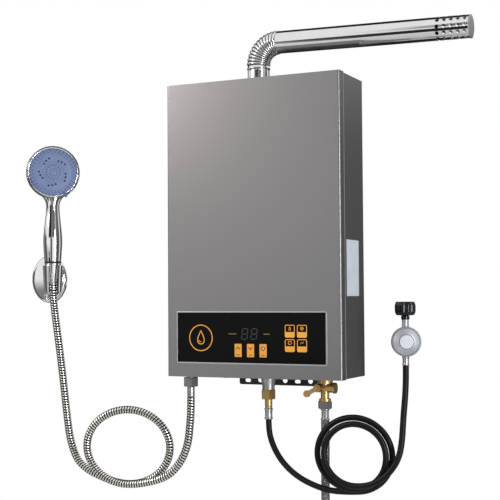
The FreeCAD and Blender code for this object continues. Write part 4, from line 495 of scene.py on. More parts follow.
# Surfaces as arrays
@dataclass
class Shape:
    """A surface: points in millimetres, faces of four corners, a UV pair per corner and a finish per face."""

    points: np.ndarray
    faces: np.ndarray
    uv: np.ndarray
    finish: np.ndarray

    @staticmethod
    def grid(points: np.ndarray, closed_rows: bool = False, closed_columns: bool = True, finish: int = 0,
             rows_at: Optional[np.ndarray] = None, columns_at: Optional[np.ndarray] = None) -> "Shape":
        """Join a grid of points into quads: each cell takes its point, the next in its row and the two above.

        Args:
            points: An array of rows by columns by 3, in millimetres.
            closed_rows: Whether the last row joins the first.
            closed_columns: Whether the last column joins the first.
            finish: The number of the finish of all the faces.
            rows_at: The U of each row, and one more where the rows close; even steps if left out.
            columns_at: The V of each column, and one more where the columns close; even steps if left out.

        Returns:
            The surface.
        """
        rows, columns = points.shape[:2]
        high, wide = rows - (not closed_rows), columns - (not closed_columns)
        row, column = (part.ravel() for part in np.meshgrid(np.arange(high), np.arange(wide), indexing="ij"))
        up, right = (row + 1) % rows, (column + 1) % columns
        faces = np.stack([row * columns + column, row * columns + right, up * columns + right,
                          up * columns + column], axis=1)
        u = np.arange(rows + 1) / max(high, 1) if rows_at is None else rows_at
        v = np.arange(columns + 1) / max(wide, 1) if columns_at is None else columns_at
        uv = np.stack([np.stack([u[row + above], v[column + beside]], 1)
                       for above, beside in ((0, 0), (0, 1), (1, 1), (1, 0))], axis=1)
        return Shape(points.reshape(-1, 3), faces, uv, np.full(len(faces), finish))

    @staticmethod
    def lathe(profile: np.ndarray, segments: int = 64, finish: int = 0) -> "Shape":
        """Turn a profile of (radius, height) pairs round the Z axis."""
        points = about_z(profile[:, 0, None], profile[:, 1, None], even_angles(segments))
        return Shape.grid(points, finish=finish)

    def __add__(self, other: "Shape") -> "Shape":
        """Both surfaces in one."""
        return Shape(np.concatenate([self.points, other.points]),
                     np.concatenate([self.faces, other.faces + len(self.points)]),
                     np.concatenate([self.uv, other.uv]), np.concatenate([self.finish, other.finish]))

    def repeated(self, places: np.ndarray) -> "Shape":
        """A copy of the surface at each place, shifted by it in millimetres."""
        count, size = len(places), len(self.points)
        points = (self.points[None] + places[:, None]).reshape(-1, 3)
        faces = (self.faces[None] + (np.arange(count) * size)[:, None, None]).reshape(-1, 4)
        return Shape(points, faces, np.tile(self.uv, (count, 1, 1)), np.tile(self.finish, count))

    def moved(self, x: float = 0.0, y: float = 0.0, z: float = 0.0) -> "Shape":
        """The surface shifted by millimetres."""
        return Shape(self.points + np.array([x, y, z]), self.faces, self.uv, self.finish)

    def mapped(self, change: Callable[[np.ndarray], np.ndarray]) -> "Shape":
        """The surface with all its points put through a function."""
        return Shape(change(self.points), self.faces, self.uv, self.finish)

    def build(self, name: str, skins: Sequence[Skin], sharp: float = 35.0) -> bpy.types.Object:
        """Make the object: merged seams and poles, outward faces, smooth below an angle.

        Args:
            name: The object's name.
            skins: The finishes that the faces' numbers mean.
            sharp: The angle in degrees above which an edge stays sharp.

        Returns:
            The object, at the origin.
        """
        mesh = bpy.data.meshes.new(name)
        mesh.vertices.add(len(self.points))
        mesh.vertices.foreach_set("co", (self.points * MILLIMETRE).astype(np.float32).ravel())
        mesh.loops.add(self.faces.size)
        mesh.loops.foreach_set("vertex_index", self.faces.astype(np.int32).ravel())
        mesh.polygons.add(len(self.faces))
        mesh.polygons.foreach_set("loop_start", np.arange(0, self.faces.size, 4, dtype=np.int32))
        mesh.polygons.foreach_set("material_index", self.finish.astype(np.int32))
        layer = mesh.uv_layers.new(name="UVMap")
        layer.data.foreach_set("uv", self.uv.astype(np.float32).ravel())
        mesh.update(calc_edges=True)
        close(mesh, sharp)
        for skin in skins:
            mesh.materials.append(skin.material())
        return shown(name, mesh)

    def settled(self, name: str, skins: Sequence[Skin], *nodes: str, sharp: float = 35.0) -> bpy.types.Object:
        """Make the object and settle it for the solids that it stands for."""
        return settle(self.build(name, skins, sharp), *nodes)


def joined(shapes: Iterable[Shape]) -> Shape:
    """All the surfaces in one."""
    return reduce(Shape.__add__, shapes)


def even_angles(count: int) -> np.ndarray:
    """That many even angles round a full turn, in radians."""
    return np.linspace(0, FULL_TURN, count, endpoint=False)


def about_z(radius: Any, height: Any, angle: np.ndarray) -> np.ndarray:
    """The points at each radius, height and angle about the Z axis; the three arrays broadcast."""
    return np.stack(np.broadcast_arrays(radius * np.cos(angle), radius * np.sin(angle), height), axis=-1)


def unit(vectors: Any) -> np.ndarray:
    """Vectors at length one."""
    return np.asarray(vectors, float) / np.linalg.norm(vectors, axis=-1, keepdims=True)


def at_depth(pairs: np.ndarray, depth: float) -> np.ndarray:
    """Pairs of (across, up) as points at Y = depth."""
    return np.insert(np.asarray(pairs, float), 1, depth, axis=1)


def shown(name: str, data: Any) -> bpy.types.Object:
    """An object with its data, linked to the scene."""
    made = bpy.data.objects.new(name, data)
    bpy.context.scene.collection.objects.link(made)
    return made


def close(mesh: bpy.types.Mesh, sharp: float, recalculate: bool = True) -> None:
    """Merge a mesh's doubles, point its faces outward and smooth it below an angle in degrees."""
    work = bmesh.new()
    work.from_mesh(mesh)
    bmesh.ops.remove_doubles(work, verts=work.verts, dist=MERGE_DISTANCE)
    bmesh.ops.dissolve_degenerate(work, edges=work.edges, dist=DEGENERATE_LENGTH)
    if recalculate:
        bmesh.ops.recalc_face_normals(work, faces=work.faces)
    work.to_mesh(mesh)
    work.free()
    mesh.shade_smooth()
    mesh.set_sharp_from_angle(angle=math.radians(sharp))


def softened(corners: Sequence[Sequence[float]], radii: Union[float, Sequence[float]],
             steps: int = 5) -> np.ndarray:
    """Round the corners of an open line.

    Each inner corner becomes a curve from a point on its first leg to one on its second, weighted
    (1-s) squared, 2s(1-s) and s squared between the three. The two points lie a radius away, or the leg's
    share where that is shorter.

    Args:
        corners: The line's points.
        radii: One radius, or one for each inner corner.
        steps: The number of points on each corner.

    Returns:
        The points of the rounded line.
    """
    line = np.array(corners, float)
    before, corner, after = line[:-2], line[1:-1], line[2:]
    radius = np.broadcast_to(np.asarray(radii, float), (len(corner),))[:, None]
    into, out = before - corner, after - corner
    start, end = (corner + unit(leg) * np.minimum(radius, LEG_SHARE * np.linalg.norm(leg, axis=1, keepdims=True))
                  for leg in (into, out))
    share = np.linspace(0, 1, steps)[None, :, None]
    curve = (1 - share) ** 2 * start[:, None] + 2 * share * (1 - share) * corner[:, None] \
        + share ** 2 * end[:, None]
    return np.concatenate([line[:1], curve.reshape(-1, line.shape[1]), line[-1:]])


def rounded_loop(width: float, height: float, radius: float, steps: int = 6) -> np.ndarray:
    """A rectangle's outline with round corners, about its middle, as an array of (across, up) pairs.

    Each corner is a quarter circle about a point that lies a radius inside both sides.
    """
    radius = max(min(radius, width / 2 - 1e-3, height / 2 - 1e-3), 0.01)
    angle = (np.arange(4)[:, None] * 90 + np.linspace(0, 90, steps)[None, :]).ravel()
    sign = np.repeat(np.array([[1, 1], [-1, 1], [-1, -1], [1, -1]], float), steps, axis=0)
    middle = sign * (np.array([width, height]) / 2 - radius)
    turn = np.radians(angle)
    return middle + radius * np.column_stack([np.cos(turn), np.sin(turn)])


def framed(width: float, height: float, radius: float, profile: np.ndarray, filled: bool = False,
           finish: int = 0) -> Shape:
    """Carry a profile of (inset, depth) pairs round a rounded rectangle in the XZ plane.

    At each pair the outline is the rectangle made smaller by the inset on every side, at Y = depth. A filled
    shape closes to a point at both ends; else the profile is a loop.
    """
    loops = [at_depth(rounded_loop(width - 2 * inset, height - 2 * inset, radius - inset), depth)
             for inset, depth in profile]
    if filled:
        ends = [np.array([0, profile[at][1], 0]) + 0 * loops[0] for at in (0, -1)]
        return Shape.grid(np.stack([ends[0], *loops, ends[1]]), finish=finish)
    return Shape.grid(np.stack(loops), closed_rows=True, finish=finish)


def stroke(path: Union[np.ndarray, Sequence[Sequence[float]]], width: float, front: float, back: float,
           closed: bool = False, finish: int = 0) -> Shape:
    """A flat band along a drawn line of (across, up) pairs.

    Each point moves half a width along the line's normal to both sides, at the front and at the back.
    """
    path = np.array(path, float)
    step = np.roll(path, -1, 0) - np.roll(path, 1, 0) if closed else np.gradient(path, axis=0)
    side = np.column_stack([-step[:, 1], step[:, 0]]) / np.linalg.norm(step, axis=1)[:, None] * width / 2
    points = np.stack([at_depth(path + way * side, depth)
                       for way, depth in ((1, front), (-1, front), (-1, back), (1, back))])
    if not closed:
        ends = np.broadcast_to(points.mean(axis=0), points.shape)
        points = np.concatenate([ends[:, :1], points, ends[:, -1:]], axis=1)
    return Shape.grid(points, closed_rows=True, closed_columns=closed, finish=finish)


def filled(loop: np.ndarray, front: float, back: float, finish: int = 0) -> Shape:
    """A flat plate inside a closed outline of (across, up) pairs: its middle, the outline at the front and at
    the back, and its middle again."""
    middle = np.broadcast_to(loop.mean(axis=0), loop.shape)
    return Shape.grid(np.stack([at_depth(pairs, depth) for pairs, depth in
                                ((middle, front), (loop, front), (loop, back), (middle, back))]), finish=finish)


def ring(radius: float, count: int = 48, start: float = 0.0, sweep: float = 360.0) -> np.ndarray:
    """Points on a circle as (across, up) pairs, from a start angle over a sweep in degrees."""
    angle = np.radians(start + np.linspace(0, sweep, count, endpoint=sweep < 360))
    return radius * np.column_stack([np.cos(angle), np.sin(angle)])


def droplet(height: float, count: int = 40) -> np.ndarray:
    """A drop's outline as (across, up) pairs; its width follows two sines, of the angle and of its half."""
    turn = even_angles(count)
    return height / 2 * np.column_stack([-0.78 * np.sin(turn) * np.sin(turn / 2) ** 1.6, np.cos(turn)])


def sweep(centres: np.ndarray, radius: np.ndarray, segments: int, turns_at: Optional[np.ndarray] = None,
          round_at: float = 1.0) -> Shape:
    """Carry a circle along a line, closed at both ends.

    The circle stands across the line's direction; its first axis is that direction crossed with Y.

    Args:
        centres: The line's points in millimetres.
        radius: A radius for each point, or for each point and segment.
        segments: The number of points round.
        turns_at: The U of each point.
        round_at: The V after one turn round.

    Returns:
        The tube.
    """
    along = unit(np.gradient(centres, axis=0))
    first = unit(np.cross(along, [0.0, 1.0, 0.0]))
    second = np.cross(along, first)
    angle = even_angles(segments)
    reach = np.broadcast_to(radius if radius.ndim == 2 else radius[:, None], (len(centres), segments))[..., None]
    points = centres[:, None] + reach * (np.cos(angle)[:, None] * first[:, None]
                                         + np.sin(angle)[:, None] * second[:, None])
    low, high = np.broadcast_to(centres[0], points[:1].shape), np.broadcast_to(centres[-1], points[:1].shape)
    at = np.arange(len(centres)) if turns_at is None else turns_at
    at = np.concatenate([at[:1], at, at[-1:], at[-1:]])
    return Shape.grid(np.concatenate([low, points, high]), rows_at=at,
                      columns_at=np.linspace(0, round_at, segments + 1))


@dataclass(frozen=True)
class Facing:
    """A place and a direction for a shape that was made about the Z axis."""

    middle: Triple
    out: Triple

    @staticmethod
    def level(middle: Triple, turn: float) -> "Facing":
        """A level direction, turned to the right by degrees from straight out of the wall."""
        turn = math.radians(turn)
        return Facing(middle, (math.sin(turn), -math.cos(turn), 0.0))

    def place(self, points: np.ndarray) -> np.ndarray:
        """Turn Z to the direction and X to the horizontal at its right, and shift to the place."""
        out = unit(self.out)
        right = unit([-out[1], out[0], 0.0])
        up = np.cross(out, right)
        return np.array(self.middle) + points @ np.stack([right, up, out])


# Pieces and the frame
def settle(piece: bpy.types.Object, *nodes: str) -> bpy.types.Object:
    """Let a piece stand for solids and ride on their body.

    Args:
        piece: The piece.
        nodes: The solids that it stands for; with none it rides on the heater.

    Returns:
        The piece.
    """
    body = "heater"
    if nodes:
        first = frame["nodes"][nodes[0]]
        body = first["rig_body"]
        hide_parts(*nodes)
    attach(piece, body)
    LOG.info("%s rides on %s", piece.name, body)
    return piece


def skin_of(item: bpy.types.Object) -> Skin:
    """The finish that a solid's slot stands for."""
    return SKIN_OF_SLOT[item.material_slots[0].name]


def refined(node: str, skin: Optional[Skin] = None, sharp: float = 32.0) -> bpy.types.Object:
    """A merged, smoothly shaded copy of a solid, which stands for it.

    Args:
        node: The solid.
        skin: Its finish; that of its slot if left out.
        sharp: The angle in degrees above which an edge stays sharp.

    Returns:
        The copy.
    """
    source = frame["nodes"][node]
    mesh = source.data.copy()
    mesh.name = f"{node}_skin"
    chosen = skin or skin_of(source)
    if "custom_normal" in mesh.attributes:
        mesh.attributes.remove(mesh.attributes["custom_normal"])
    close(mesh, sharp, recalculate=False)
    mesh.materials.clear()
    mesh.materials.append(chosen.material())
    piece = shown(f"{node}_skin", mesh)
    piece.modifiers.new("even_normals", "WEIGHTED_NORMAL").keep_sharp = True
    return settle(piece, node)


def dressed(node: str) -> None:
    """Give a solid that stays the finish of its slot."""
    item = frame["nodes"][node]
    for place in item.material_slots:
        place.material = skin_of(item).material()


# Hoses
@dataclass
class Route:
    """A hose's control points in metres, and the smooth line that they steer."""

    points: Sequence[Triple]

    def curve(self, name: str, resolution: int) -> bpy.types.Curve:
        """A curve of one open spline through the ends of the route."""
        data = bpy.data.curves.new(name, "CURVE")
        data.dimensions = "3D"
        spline = data.splines.new("NURBS")
        spline.points.add(len(self.points) - 1)
        steered = np.column_stack([np.array(self.points, float), np.ones(len(self.points))])
        spline.points.foreach_set("co", steered.astype(np.float32).ravel())
        spline.order_u = 3
        spline.use_endpoint_u = True
        spline.resolution_u = resolution
        data.resolution_u = data.render_resolution_u = resolution
        return data

    def line(self, resolution: int = 24) -> np.ndarray:
        """Points read from the route's spline, in millimetres."""
        data = self.curve("route", resolution)
        probe = bpy.data.objects.new("route", data)
        mesh = bpy.data.meshes.new_from_object(probe)
        points = np.zeros(len(mesh.vertices) * 3, np.float32)
        mesh.vertices.foreach_get("co", points)
        bpy.data.objects.remove(probe)
        bpy.data.meshes.remove(mesh)
        bpy.data.curves.remove(data)
        return points.reshape(-1, 3).astype(float) / MILLIMETRE


def spaced(line: np.ndarray, count: int) -> tuple[np.ndarray, np.ndarray]:
    """Points at even distances along a dense line, and their distances from its start."""
    length = np.concatenate([[0], np.cumsum(np.linalg.norm(np.diff(line, axis=0), axis=1))])
    at = np.linspace(0, length[-1], count)
    return np.column_stack([np.interp(at, length, line[:, axis]) for axis in range(3)]), at


@dataclass(frozen=True)
class Coil:
    """Loops of a hose in millimetres about a middle, which drifts with each turn.

    A point of angle a lies at cos a and sin a times the two radii and a size, and leans forwards by a share of
    its way across.
    """

    count: int
    start: float
    stride: float
    middle: Triple
    drift: Triple
    radii: tuple[float, float]
    lean: float = 0.0
    size: Callable[[np.ndarray], Any] = lambda turn: 1.0

    def points(self) -> list[Triple]:
        """The coil's points in metres."""
        degrees = self.stride * np.arange(self.count)
        angle, turn = np.radians(self.start + degrees), degrees / 360
        x, y, z = (place + drift * turn for place, drift in zip(self.middle, self.drift))
        across, rise = (radius * self.size(turn) for radius in self.radii)
        reach = across * np.cos(angle)
        points = np.column_stack([x + reach, y + self.lean * reach, z + rise * np.sin(angle)])
        return [tuple(point) for point in points * MILLIMETRE]


def gas_size(turn: np.ndarray) -> np.ndarray:
    """The gas hose's loops grow a little at first, and from 0.8 of a turn on they narrow by 18 per cent."""
    return 0.975 + 0.025 * np.minimum(turn / 0.3, 1) - 0.18 * np.clip((turn - 0.8) / 0.45, 0, 1)


SHOWER_COIL = Coil(14, -110, 29.5, (-323.8, -52, -747.5), (13.5, -22, 3.3), (92.6, 79.4), 0.2)
GAS_COIL = Coil(27, -97, 28.5, (191.8, -86, -733), (5.3, -14, 2), (76.8, 71.8), size=gas_size)
SHOWER_ROUTE = Route([
    (-0.5051, -0.0653, -0.4033), (-0.5049, -0.0652, -0.427), (-0.499, -0.0655, -0.472), (-0.488, -0.066, -0.538),
    (-0.477, -0.067, -0.608), (-0.468, -0.067, -0.680), (-0.457, -0.068, -0.745), (-0.431, -0.069, -0.793),
    *SHOWER_COIL.points(), (-0.228, -0.066, -0.806), (-0.194, -0.064, -0.775), (-0.175, -0.064, -0.735),
    (-0.169, -0.065, -0.690), (-0.167, -0.065, -0.656), (-0.167, -0.065, -0.637)])
GAS_ROUTE = Route([
    (0.006, -0.065, -0.675), (0.006, -0.065, -0.693), (0.011, -0.067, -0.714), (0.024, -0.071, -0.738),
    (0.043, -0.075, -0.760), (0.069, -0.079, -0.779), (0.101, -0.083, -0.793), (0.140, -0.085, -0.803),
    *GAS_COIL.points(), (0.243, -0.114, -0.778), (0.269, -0.112, -0.759), (0.286, -0.108, -0.732),
    (0.291, -0.103, -0.700), (0.292, -0.098, -0.660), (0.295, -0.093, -0.615), (0.2958, -0.091, -0.582),
    (0.2958, -0.091, -0.563)])
COLD_ROUTE = Route([
    (0.1252, -0.065, -0.6722), (0.1252, -0.065, -0.712), (0.1242, -0.064, -0.770), (0.1232, -0.0625, -0.830),
    (0.1234, -0.0614, -0.890), (0.1245, -0.061, -0.940), (0.1245, -0.061, -0.972)])


@dataclass
class Hoses:
    """The three flexible hoses."""

    shower_length: float = 1.313
    shower_diameter: float = 16.0
    spiral_pitch: float = 5.6
    spiral_groove: float = 1.7
    spiral_sharpness: float = 5
    spiral_segments: int = 20
    rows_per_turn: int = 12
    gas_length: float = 1.357
    gas_diameter: float = 11.5
    cold_length: float = 0.300
    cold_diameter: float = 16.2
    cold_rows: int = 160
    cold_segments: int = 32
    braid_bundle: float = 3.2
    braid_bundles_round: float = 16

    def build(self) -> None:
        self.build_shower_hose()
        self.build_gas_hose()
        self.build_cold_hose()

    def build_shower_hose(self) -> None:
        """Wind a strip along the route: the radius dips where the turns meet, along a helix."""
        dense = SHOWER_ROUTE.line(40)
        length = np.linalg.norm(np.diff(dense, axis=0), axis=1).sum()
        centres, at = spaced(dense, int(length / self.spiral_pitch * self.rows_per_turn))
        turn = np.linspace(0, 1, self.spiral_segments, endpoint=False)
        phase = at[:, None] / self.spiral_pitch + turn
        dip = np.abs(((phase % 1) - 0.5) * 2) ** self.spiral_sharpness
        radius = self.shower_diameter / 2 - self.spiral_groove * dip
        shape = sweep(centres, radius, self.spiral_segments, turns_at=at / self.spiral_pitch)
        # U follows the helix so that the finish paints shade in the groove where the turns meet.
        shape.uv[:, :, 0] += shape.uv[:, :, 1]
        piece = shape.build("shower_hose_spiral", [Skin.SPIRAL], 60)
        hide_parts("shower_hose")
        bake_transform(piece)
        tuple(SHOWER_ROUTE.points[-1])
        LOG.info("%s blends from heater to handset", piece.name)

    def build_gas_hose(self) -> None:
        """A smooth rubber hose: a round section along the route's own spline."""
        data = GAS_ROUTE.curve("gas_hose_rubber", 16)
        data.bevel_depth = self.gas_diameter / 2 * MILLIMETRE
        data.bevel_resolution = 7
        data.use_fill_caps = True
        data.materials.append(Skin.RUBBER.material())
        piece = settle(shown("gas_hose_rubber", data), "gas_hose")
        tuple(GAS_ROUTE.points[0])

    def build_cold_hose(self) -> None:
        """A braided hose: a plain tube whose UV map counts the braid's bundles."""
        centres, at = spaced(COLD_ROUTE.line(), self.cold_rows)
        shape = sweep(centres, np.full(len(centres), self.cold_diameter / 2), self.cold_segments,
                      turns_at=at / self.braid_bundle, round_at=self.braid_bundles_round)
        piece = shape.settled("cold_hose_braid", [Skin.BRAID], "cold_hose", sharp=60)
        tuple(COLD_ROUTE.points[0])


# Casing and control panel
@dataclass
class Casing:
    """The grey casing with its strips, its cover's hems and the blank plate on its side."""

    side_x: float = 185.0
    rear_inset: float = 1.3
    plate_y: tuple[float, float] = (-95.6, -31.0)
    plate_z: tuple[float, float] = (-435.4, -328.5)
    plate_gap: float = 0.05
    plate_thick: float = 0.3
    plate_corner: float = 1.5
    hem_y: float = -107.6
    hem_z: tuple[float, float] = (-591.6, -12.4)
    hem_radius: float = 0.5

    def build(self) -> None:
        """Refine the sheet metal and add the side plate and the hems."""
        for node in ("front_cover", "rear_case", "bottom_bracket", "top_hanger"):
            refined(node)
        self.side_plate().settled("side_plate", [Skin.LABEL])
        # The hems' lighter grey is a painted highlight along the cover's back edge.
        joined(self.hem(side) for side in (-1, 1)).settled("cover_hems", [Skin.HEM])

    def hem(self, side: int) -> Shape:
        """A fine round hem along the cover's back edge, on the left with side -1 and on the right with 1."""
        levels = np.linspace(*self.hem_z, 12)
        line = np.column_stack([side * self.side_x + 0 * levels, self.hem_y + 0 * levels, levels])
        return sweep(line, np.full(len(levels), self.hem_radius), 10)

    def side_plate(self) -> Shape:
        """A blank plate stuck to the rear case's right side, its rounded outline filled."""
        width, height = (high - low for low, high in (self.plate_y, self.plate_z))
        plate = filled(rounded_loop(width, height, self.plate_corner), 0.0, self.plate_thick)
        middle = (self.side_x - self.rear_inset + self.plate_gap, sum(self.plate_y) / 2, sum(self.plate_z) / 2)
        return plate.mapped(lambda points: points[:, [1, 0, 2]]).moved(*middle)


class KeySign(Enum):
    """What a key's print shows; the value is the key's name."""

    UP = "up"
    DOWN = "down"
    POWER = "power"


@dataclass
class ControlPanel:
    """The frame, the keys, the tiles and the prints of the control panel."""

    middle_x: float = -4.2
    middle_z: float = -514.5
    width: float = 320.6
    height: float = 102.6
    corner: float = 4.0
    rim: float = 2.9
    seat_width: float = 1.9
    seat_gap: float = 0.02
    border: float = 4.3
    border_overlap: float = 0.4
    border_lift: float = 0.06
    border_depth: float = 0.9
    front: float = -129.2
    glass_front: float = -128.9
    cover_front: float = -128.0
    back: float = -120.0
    keys_x: Sequence[float] = (-28.7, -2.2, 24.3)
    key_width: float = 15.2
    key_height: float = 25.4
    key_corner: float = 1.2
    key_z: float = -538.7
    key_front: float = -129.4
    key_depth: float = 3.8
    key_fill: float = 4.0
    flange_reach: float = 2.0
    flange_thick: float = 1.0
    tile_width: float = 20.2
    tile_height: float = 24.0
    tile_corner: float = 3.0
    tile_front: float = -129.3
    tiles: Sequence[tuple[float, float]] = ((80.4, -501.0), (105.4, -501.0), (80.4, -528.2), (105.4, -528.2))
    emblem: tuple[float, float] = (-109.7, -515.3)
    digits: tuple[float, float] = (-4.4, -507.0)
    digit_half: float = 5.9
    digit_tall: float = 10.2
    digit_shift: float = 9.9
    digit_lean: float = 0.12
    bar_width: float = 1.9
    bar_trim: float = 1.1

    def build(self) -> None:
        """Make the panel's pieces."""
        dressed("panel_glass")
        self.build_frame()
        for sign, x in zip(KeySign, self.keys_x):
            self.build_key(sign, x)
        self.build_tiles()
        for name, skin, (x, z), shape in (("emblem_print", Skin.PRINT, self.emblem, self.emblem_shape()),
                                          ("figures_print", Skin.DIM_PRINT, self.digits, self.digits_shape()),
                                          ("dash_print", Skin.BRONZE_PRINT, (0, self.digits[1]), self.dashes())):
            shape.moved(x, 0, z).settled(name, [skin])

    def printed(self, lift: float) -> Callable[..., Shape]:
        """Strokes that are printed on the glass and stand out by a lift."""
        return partial(stroke, front=self.glass_front - lift, back=self.glass_front + 0.1)

    def build_frame(self) -> None:
        """A raised rim with soft edges round the glass, lighter than the case's grey: a painted highlight on its
        edges.
        """
        seat = self.cover_front + self.seat_gap
        corners = [(0.0, seat), (0.0, self.front), (self.rim, self.front), (self.rim, self.back),
                   (self.seat_width, self.back), (self.seat_width, seat), (0.0, seat)]
        profile = softened(corners, [0.9, 0.7, 0.1, 0.1, 0.1])
        rim = framed(self.width, self.height, self.corner, profile[:-1])
        start, step = self.rim - self.border_overlap, self.glass_front - self.border_lift
        deep = step + self.border_depth
        edge = softened([(start, step), (self.border, step), (self.border, deep), (start, deep), (start, step)],
                        0.05)
        border = framed(self.width, self.height, self.corner, edge[:-1], finish=1)
        shape = (rim + border).moved(self.middle_x, 0, self.middle_z)
        shape.settled("panel_frame", [Skin.RIM, Skin.GLASS], "panel_bezel")

    def build_key(self, sign: KeySign, x: float) -> None:
        """A key with soft edges, a flange behind the glass and its sign."""
        front, fill, reach = self.key_front, self.key_fill, -self.flange_reach
        flange = front + self.key_depth
        back = flange + self.flange_thick
        profile = softened([(fill, front), (0.0, front), (0.0, flange), (reach, flange), (reach, back),
                            (fill, back)], [0.8, 0.1, 0.1, 0.1])
        cap = framed(self.key_width, self.key_height, self.key_corner, profile, filled=True)
        draw = partial(stroke, front=front - 0.05, back=front + 0.1, finish=1)
        if sign is KeySign.POWER:
            marks = draw(ring(3.8, 30, 125, 290), 1.3) + draw([(0, 0.8), (0, 2.8), (0, 5.2)], 1.3)
        else:
            way = 1.0 if sign is KeySign.UP else -1.0
            marks = draw(softened([(-4.4, -2.3 * way), (0.0, 2.5 * way), (4.4, -2.3 * way)], 0.5), 1.5)
        dash = draw([(-3.8, -8.6), (0, -8.6), (3.8, -8.6)], 1.2)
        shape = (cap + (marks.moved(0, 0, 4.2) + dash)).moved(x, 0, self.key_z)
        shape.settled(f"{sign.value}_key_cap", [Skin.KEY, Skin.DARK_PRINT], f"key_{sign.value}")

    def build_tiles(self) -> None:
        """Four tiles: a dark plate, an outline round it, a filled lower half and a sign above."""
        wide, tall, front, back = self.tile_width, self.tile_height, self.tile_front, self.glass_front
        draw = partial(stroke, width=1.0, front=front, back=back, closed=True, finish=1)
        plate = filled(rounded_loop(wide - 0.6, tall - 0.6, self.tile_corner), front + 0.15, back)
        outline = draw(rounded_loop(wide - 1.4, tall - 1.4, self.tile_corner - 0.7), width=1.4)
        lower = filled(rounded_loop(wide - 1.6, tall * 0.42, 1.6), front + 0.02, back, 1).moved(z=-tall * 0.27)
        signs = [draw(droplet(7.0)), draw(ring(3.0, 24)) + draw(ring(0.9, 12), width=0.9),
                 draw(rounded_loop(6.4, 5.6, 1.2)),
                 draw([(-3, -2), (-1, 1.5), (1, -1), (3, 2.4)], closed=False)]
        tiles = ((plate + outline + lower + sign.moved(z=5.2)).moved(x, 0, z) for (x, z), sign in
                 zip(self.tiles, signs))
        joined(tiles).settled("tiles", [Skin.GLASS, Skin.PRINT], "indicator_tiles")

    def emblem_shape(self) -> Shape:
        """A plain drop inside a ring."""
        draw = self.printed(0.12)
        return draw(ring(25.0, 96), 1.9, closed=True) + draw(droplet(27.0), 1.9, closed=True).moved(0, 0, 1.5) \
            + draw(ring(5.0, 16, 200, 80), 1.3).moved(0, 0, -2.5)

    def digits_shape(self) -> Shape:
        """Two unlit seven-bar figures that lean to the right."""
        draw, half, tall = self.printed(0.06), self.digit_half, self.digit_tall
        corners = np.array([(-half, 0), (half, 0), (half, tall), (-half, tall), (-half, -tall), (half, -tall)])
        bars = []
        for place in (-self.digit_shift, self.digit_shift):
            for first, last in ((0, 1), (1, 2), (2, 3), (3, 0), (0, 4), (4, 5), (5, 1)):
                start, end = corners[first], corners[last]
                trim = unit(end - start) * self.bar_trim
                bars.append(draw(np.linspace(start + trim, end - trim, 3), self.bar_width).moved(place))
        return joined(bars).mapped(
            lambda points: points + np.outer(points[:, 2] * self.digit_lean, [1, 0, 0]))

    def dashes(self) -> Shape:
        """A short plain dash at both sides of the figures."""
        draw = self.printed(0.08)
        return joined(draw([(x, 0) for x in line], 1.4) for line in ((-49.2, -40, -32.0), (25.4, 32, 38.4)))


# Turned pieces and nuts
def upright(node: str) -> tuple[np.ndarray, float]:
    """The middle of a solid's foot and its height, in millimetres."""
    low, high = (np.array(corner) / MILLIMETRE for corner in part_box(node))
    return np.array([(low[0] + high[0]) / 2, (low[1] + high[1]) / 2, low[2]]), float(high[2] - low[2])


@dataclass(frozen=True)
class Turned:
    """A piece of revolution that stands for one solid and keeps its axis and height.

    The profile holds (radius, share of the height) pairs from the foot to the top; both ends close at the axis.
    """

    node: str
    profile: Sequence[tuple[float, float]]
    skin: Skin
    corner: float = 0.5

    def build(self) -> bpy.types.Object:
        """Turn the profile with round corners about the solid's axis."""
        foot, height = upright(self.node)
        line = [(0.0, self.profile[0][1]), *self.profile, (0.0, self.profile[-1][1])]
        corners = [(radius, share * height) for radius, share in line]
        shape = Shape.lathe(softened(corners, self.corner), 72).moved(*foot)
        return shape.settled(f"{self.node}_turned", [self.skin], self.node, sharp=50)


def beaded(end: float, bead: float, neck: float, waist: float) -> tuple[tuple[float, float], ...]:
    """A hose sleeve's profile from its radii: a bead at both ends and a waist between two necks."""
    foot = ((end, 0.0), (bead, 0.03), (bead, 0.11), (neck, 0.15), (waist, 0.5))
    return (*foot, (neck, 0.85), (bead, 0.89), (bead, 0.97), (end, 1.0))


@dataclass(frozen=True)
class HexNut:
    """A hexagon nut with its corners turned off at both ends."""

    node: str
    flats: float
    skin: Skin
    turned_off: float = 0.075
    cone_share: float = 0.495
    end_share: float = 0.485
    cone_slope: float = 1.7

    def build(self) -> bpy.types.Object:
        """The radius is the lesser of the hexagon's, flats / 2 over the cosine of the angle from the nearest
        flat's middle, and a cone's that leaves the flats at both ends and widens with the distance from them."""
        foot, height = upright(self.node)
        degrees = np.arange(0, 360, 3.0)
        hexagon = self.flats / 2 / np.cos(np.radians((degrees % 60) - 30))
        rise = np.array([0, 0.15, 0.35, 0.6, 1.0]) * (self.flats * self.turned_off)
        levels = np.concatenate([rise, height - rise[::-1]])[:, None]
        cone = self.flats * self.cone_share + self.cone_slope * np.minimum(levels, height - levels)
        reach = np.minimum(hexagon, cone)
        reach[[0, -1]] = np.minimum(reach[[0, -1]], self.flats * self.end_share)
        points = about_z(reach, levels, np.radians(degrees))
        ends = points[:1] * [0, 0, 1], points[-1:] * [0, 0, 1]
        shape = Shape.grid(np.concatenate([ends[0], points, ends[1]])).moved(*foot)
        return shape.settled(f"{self.node}_hexagon", [self.skin], self.node, sharp=22)


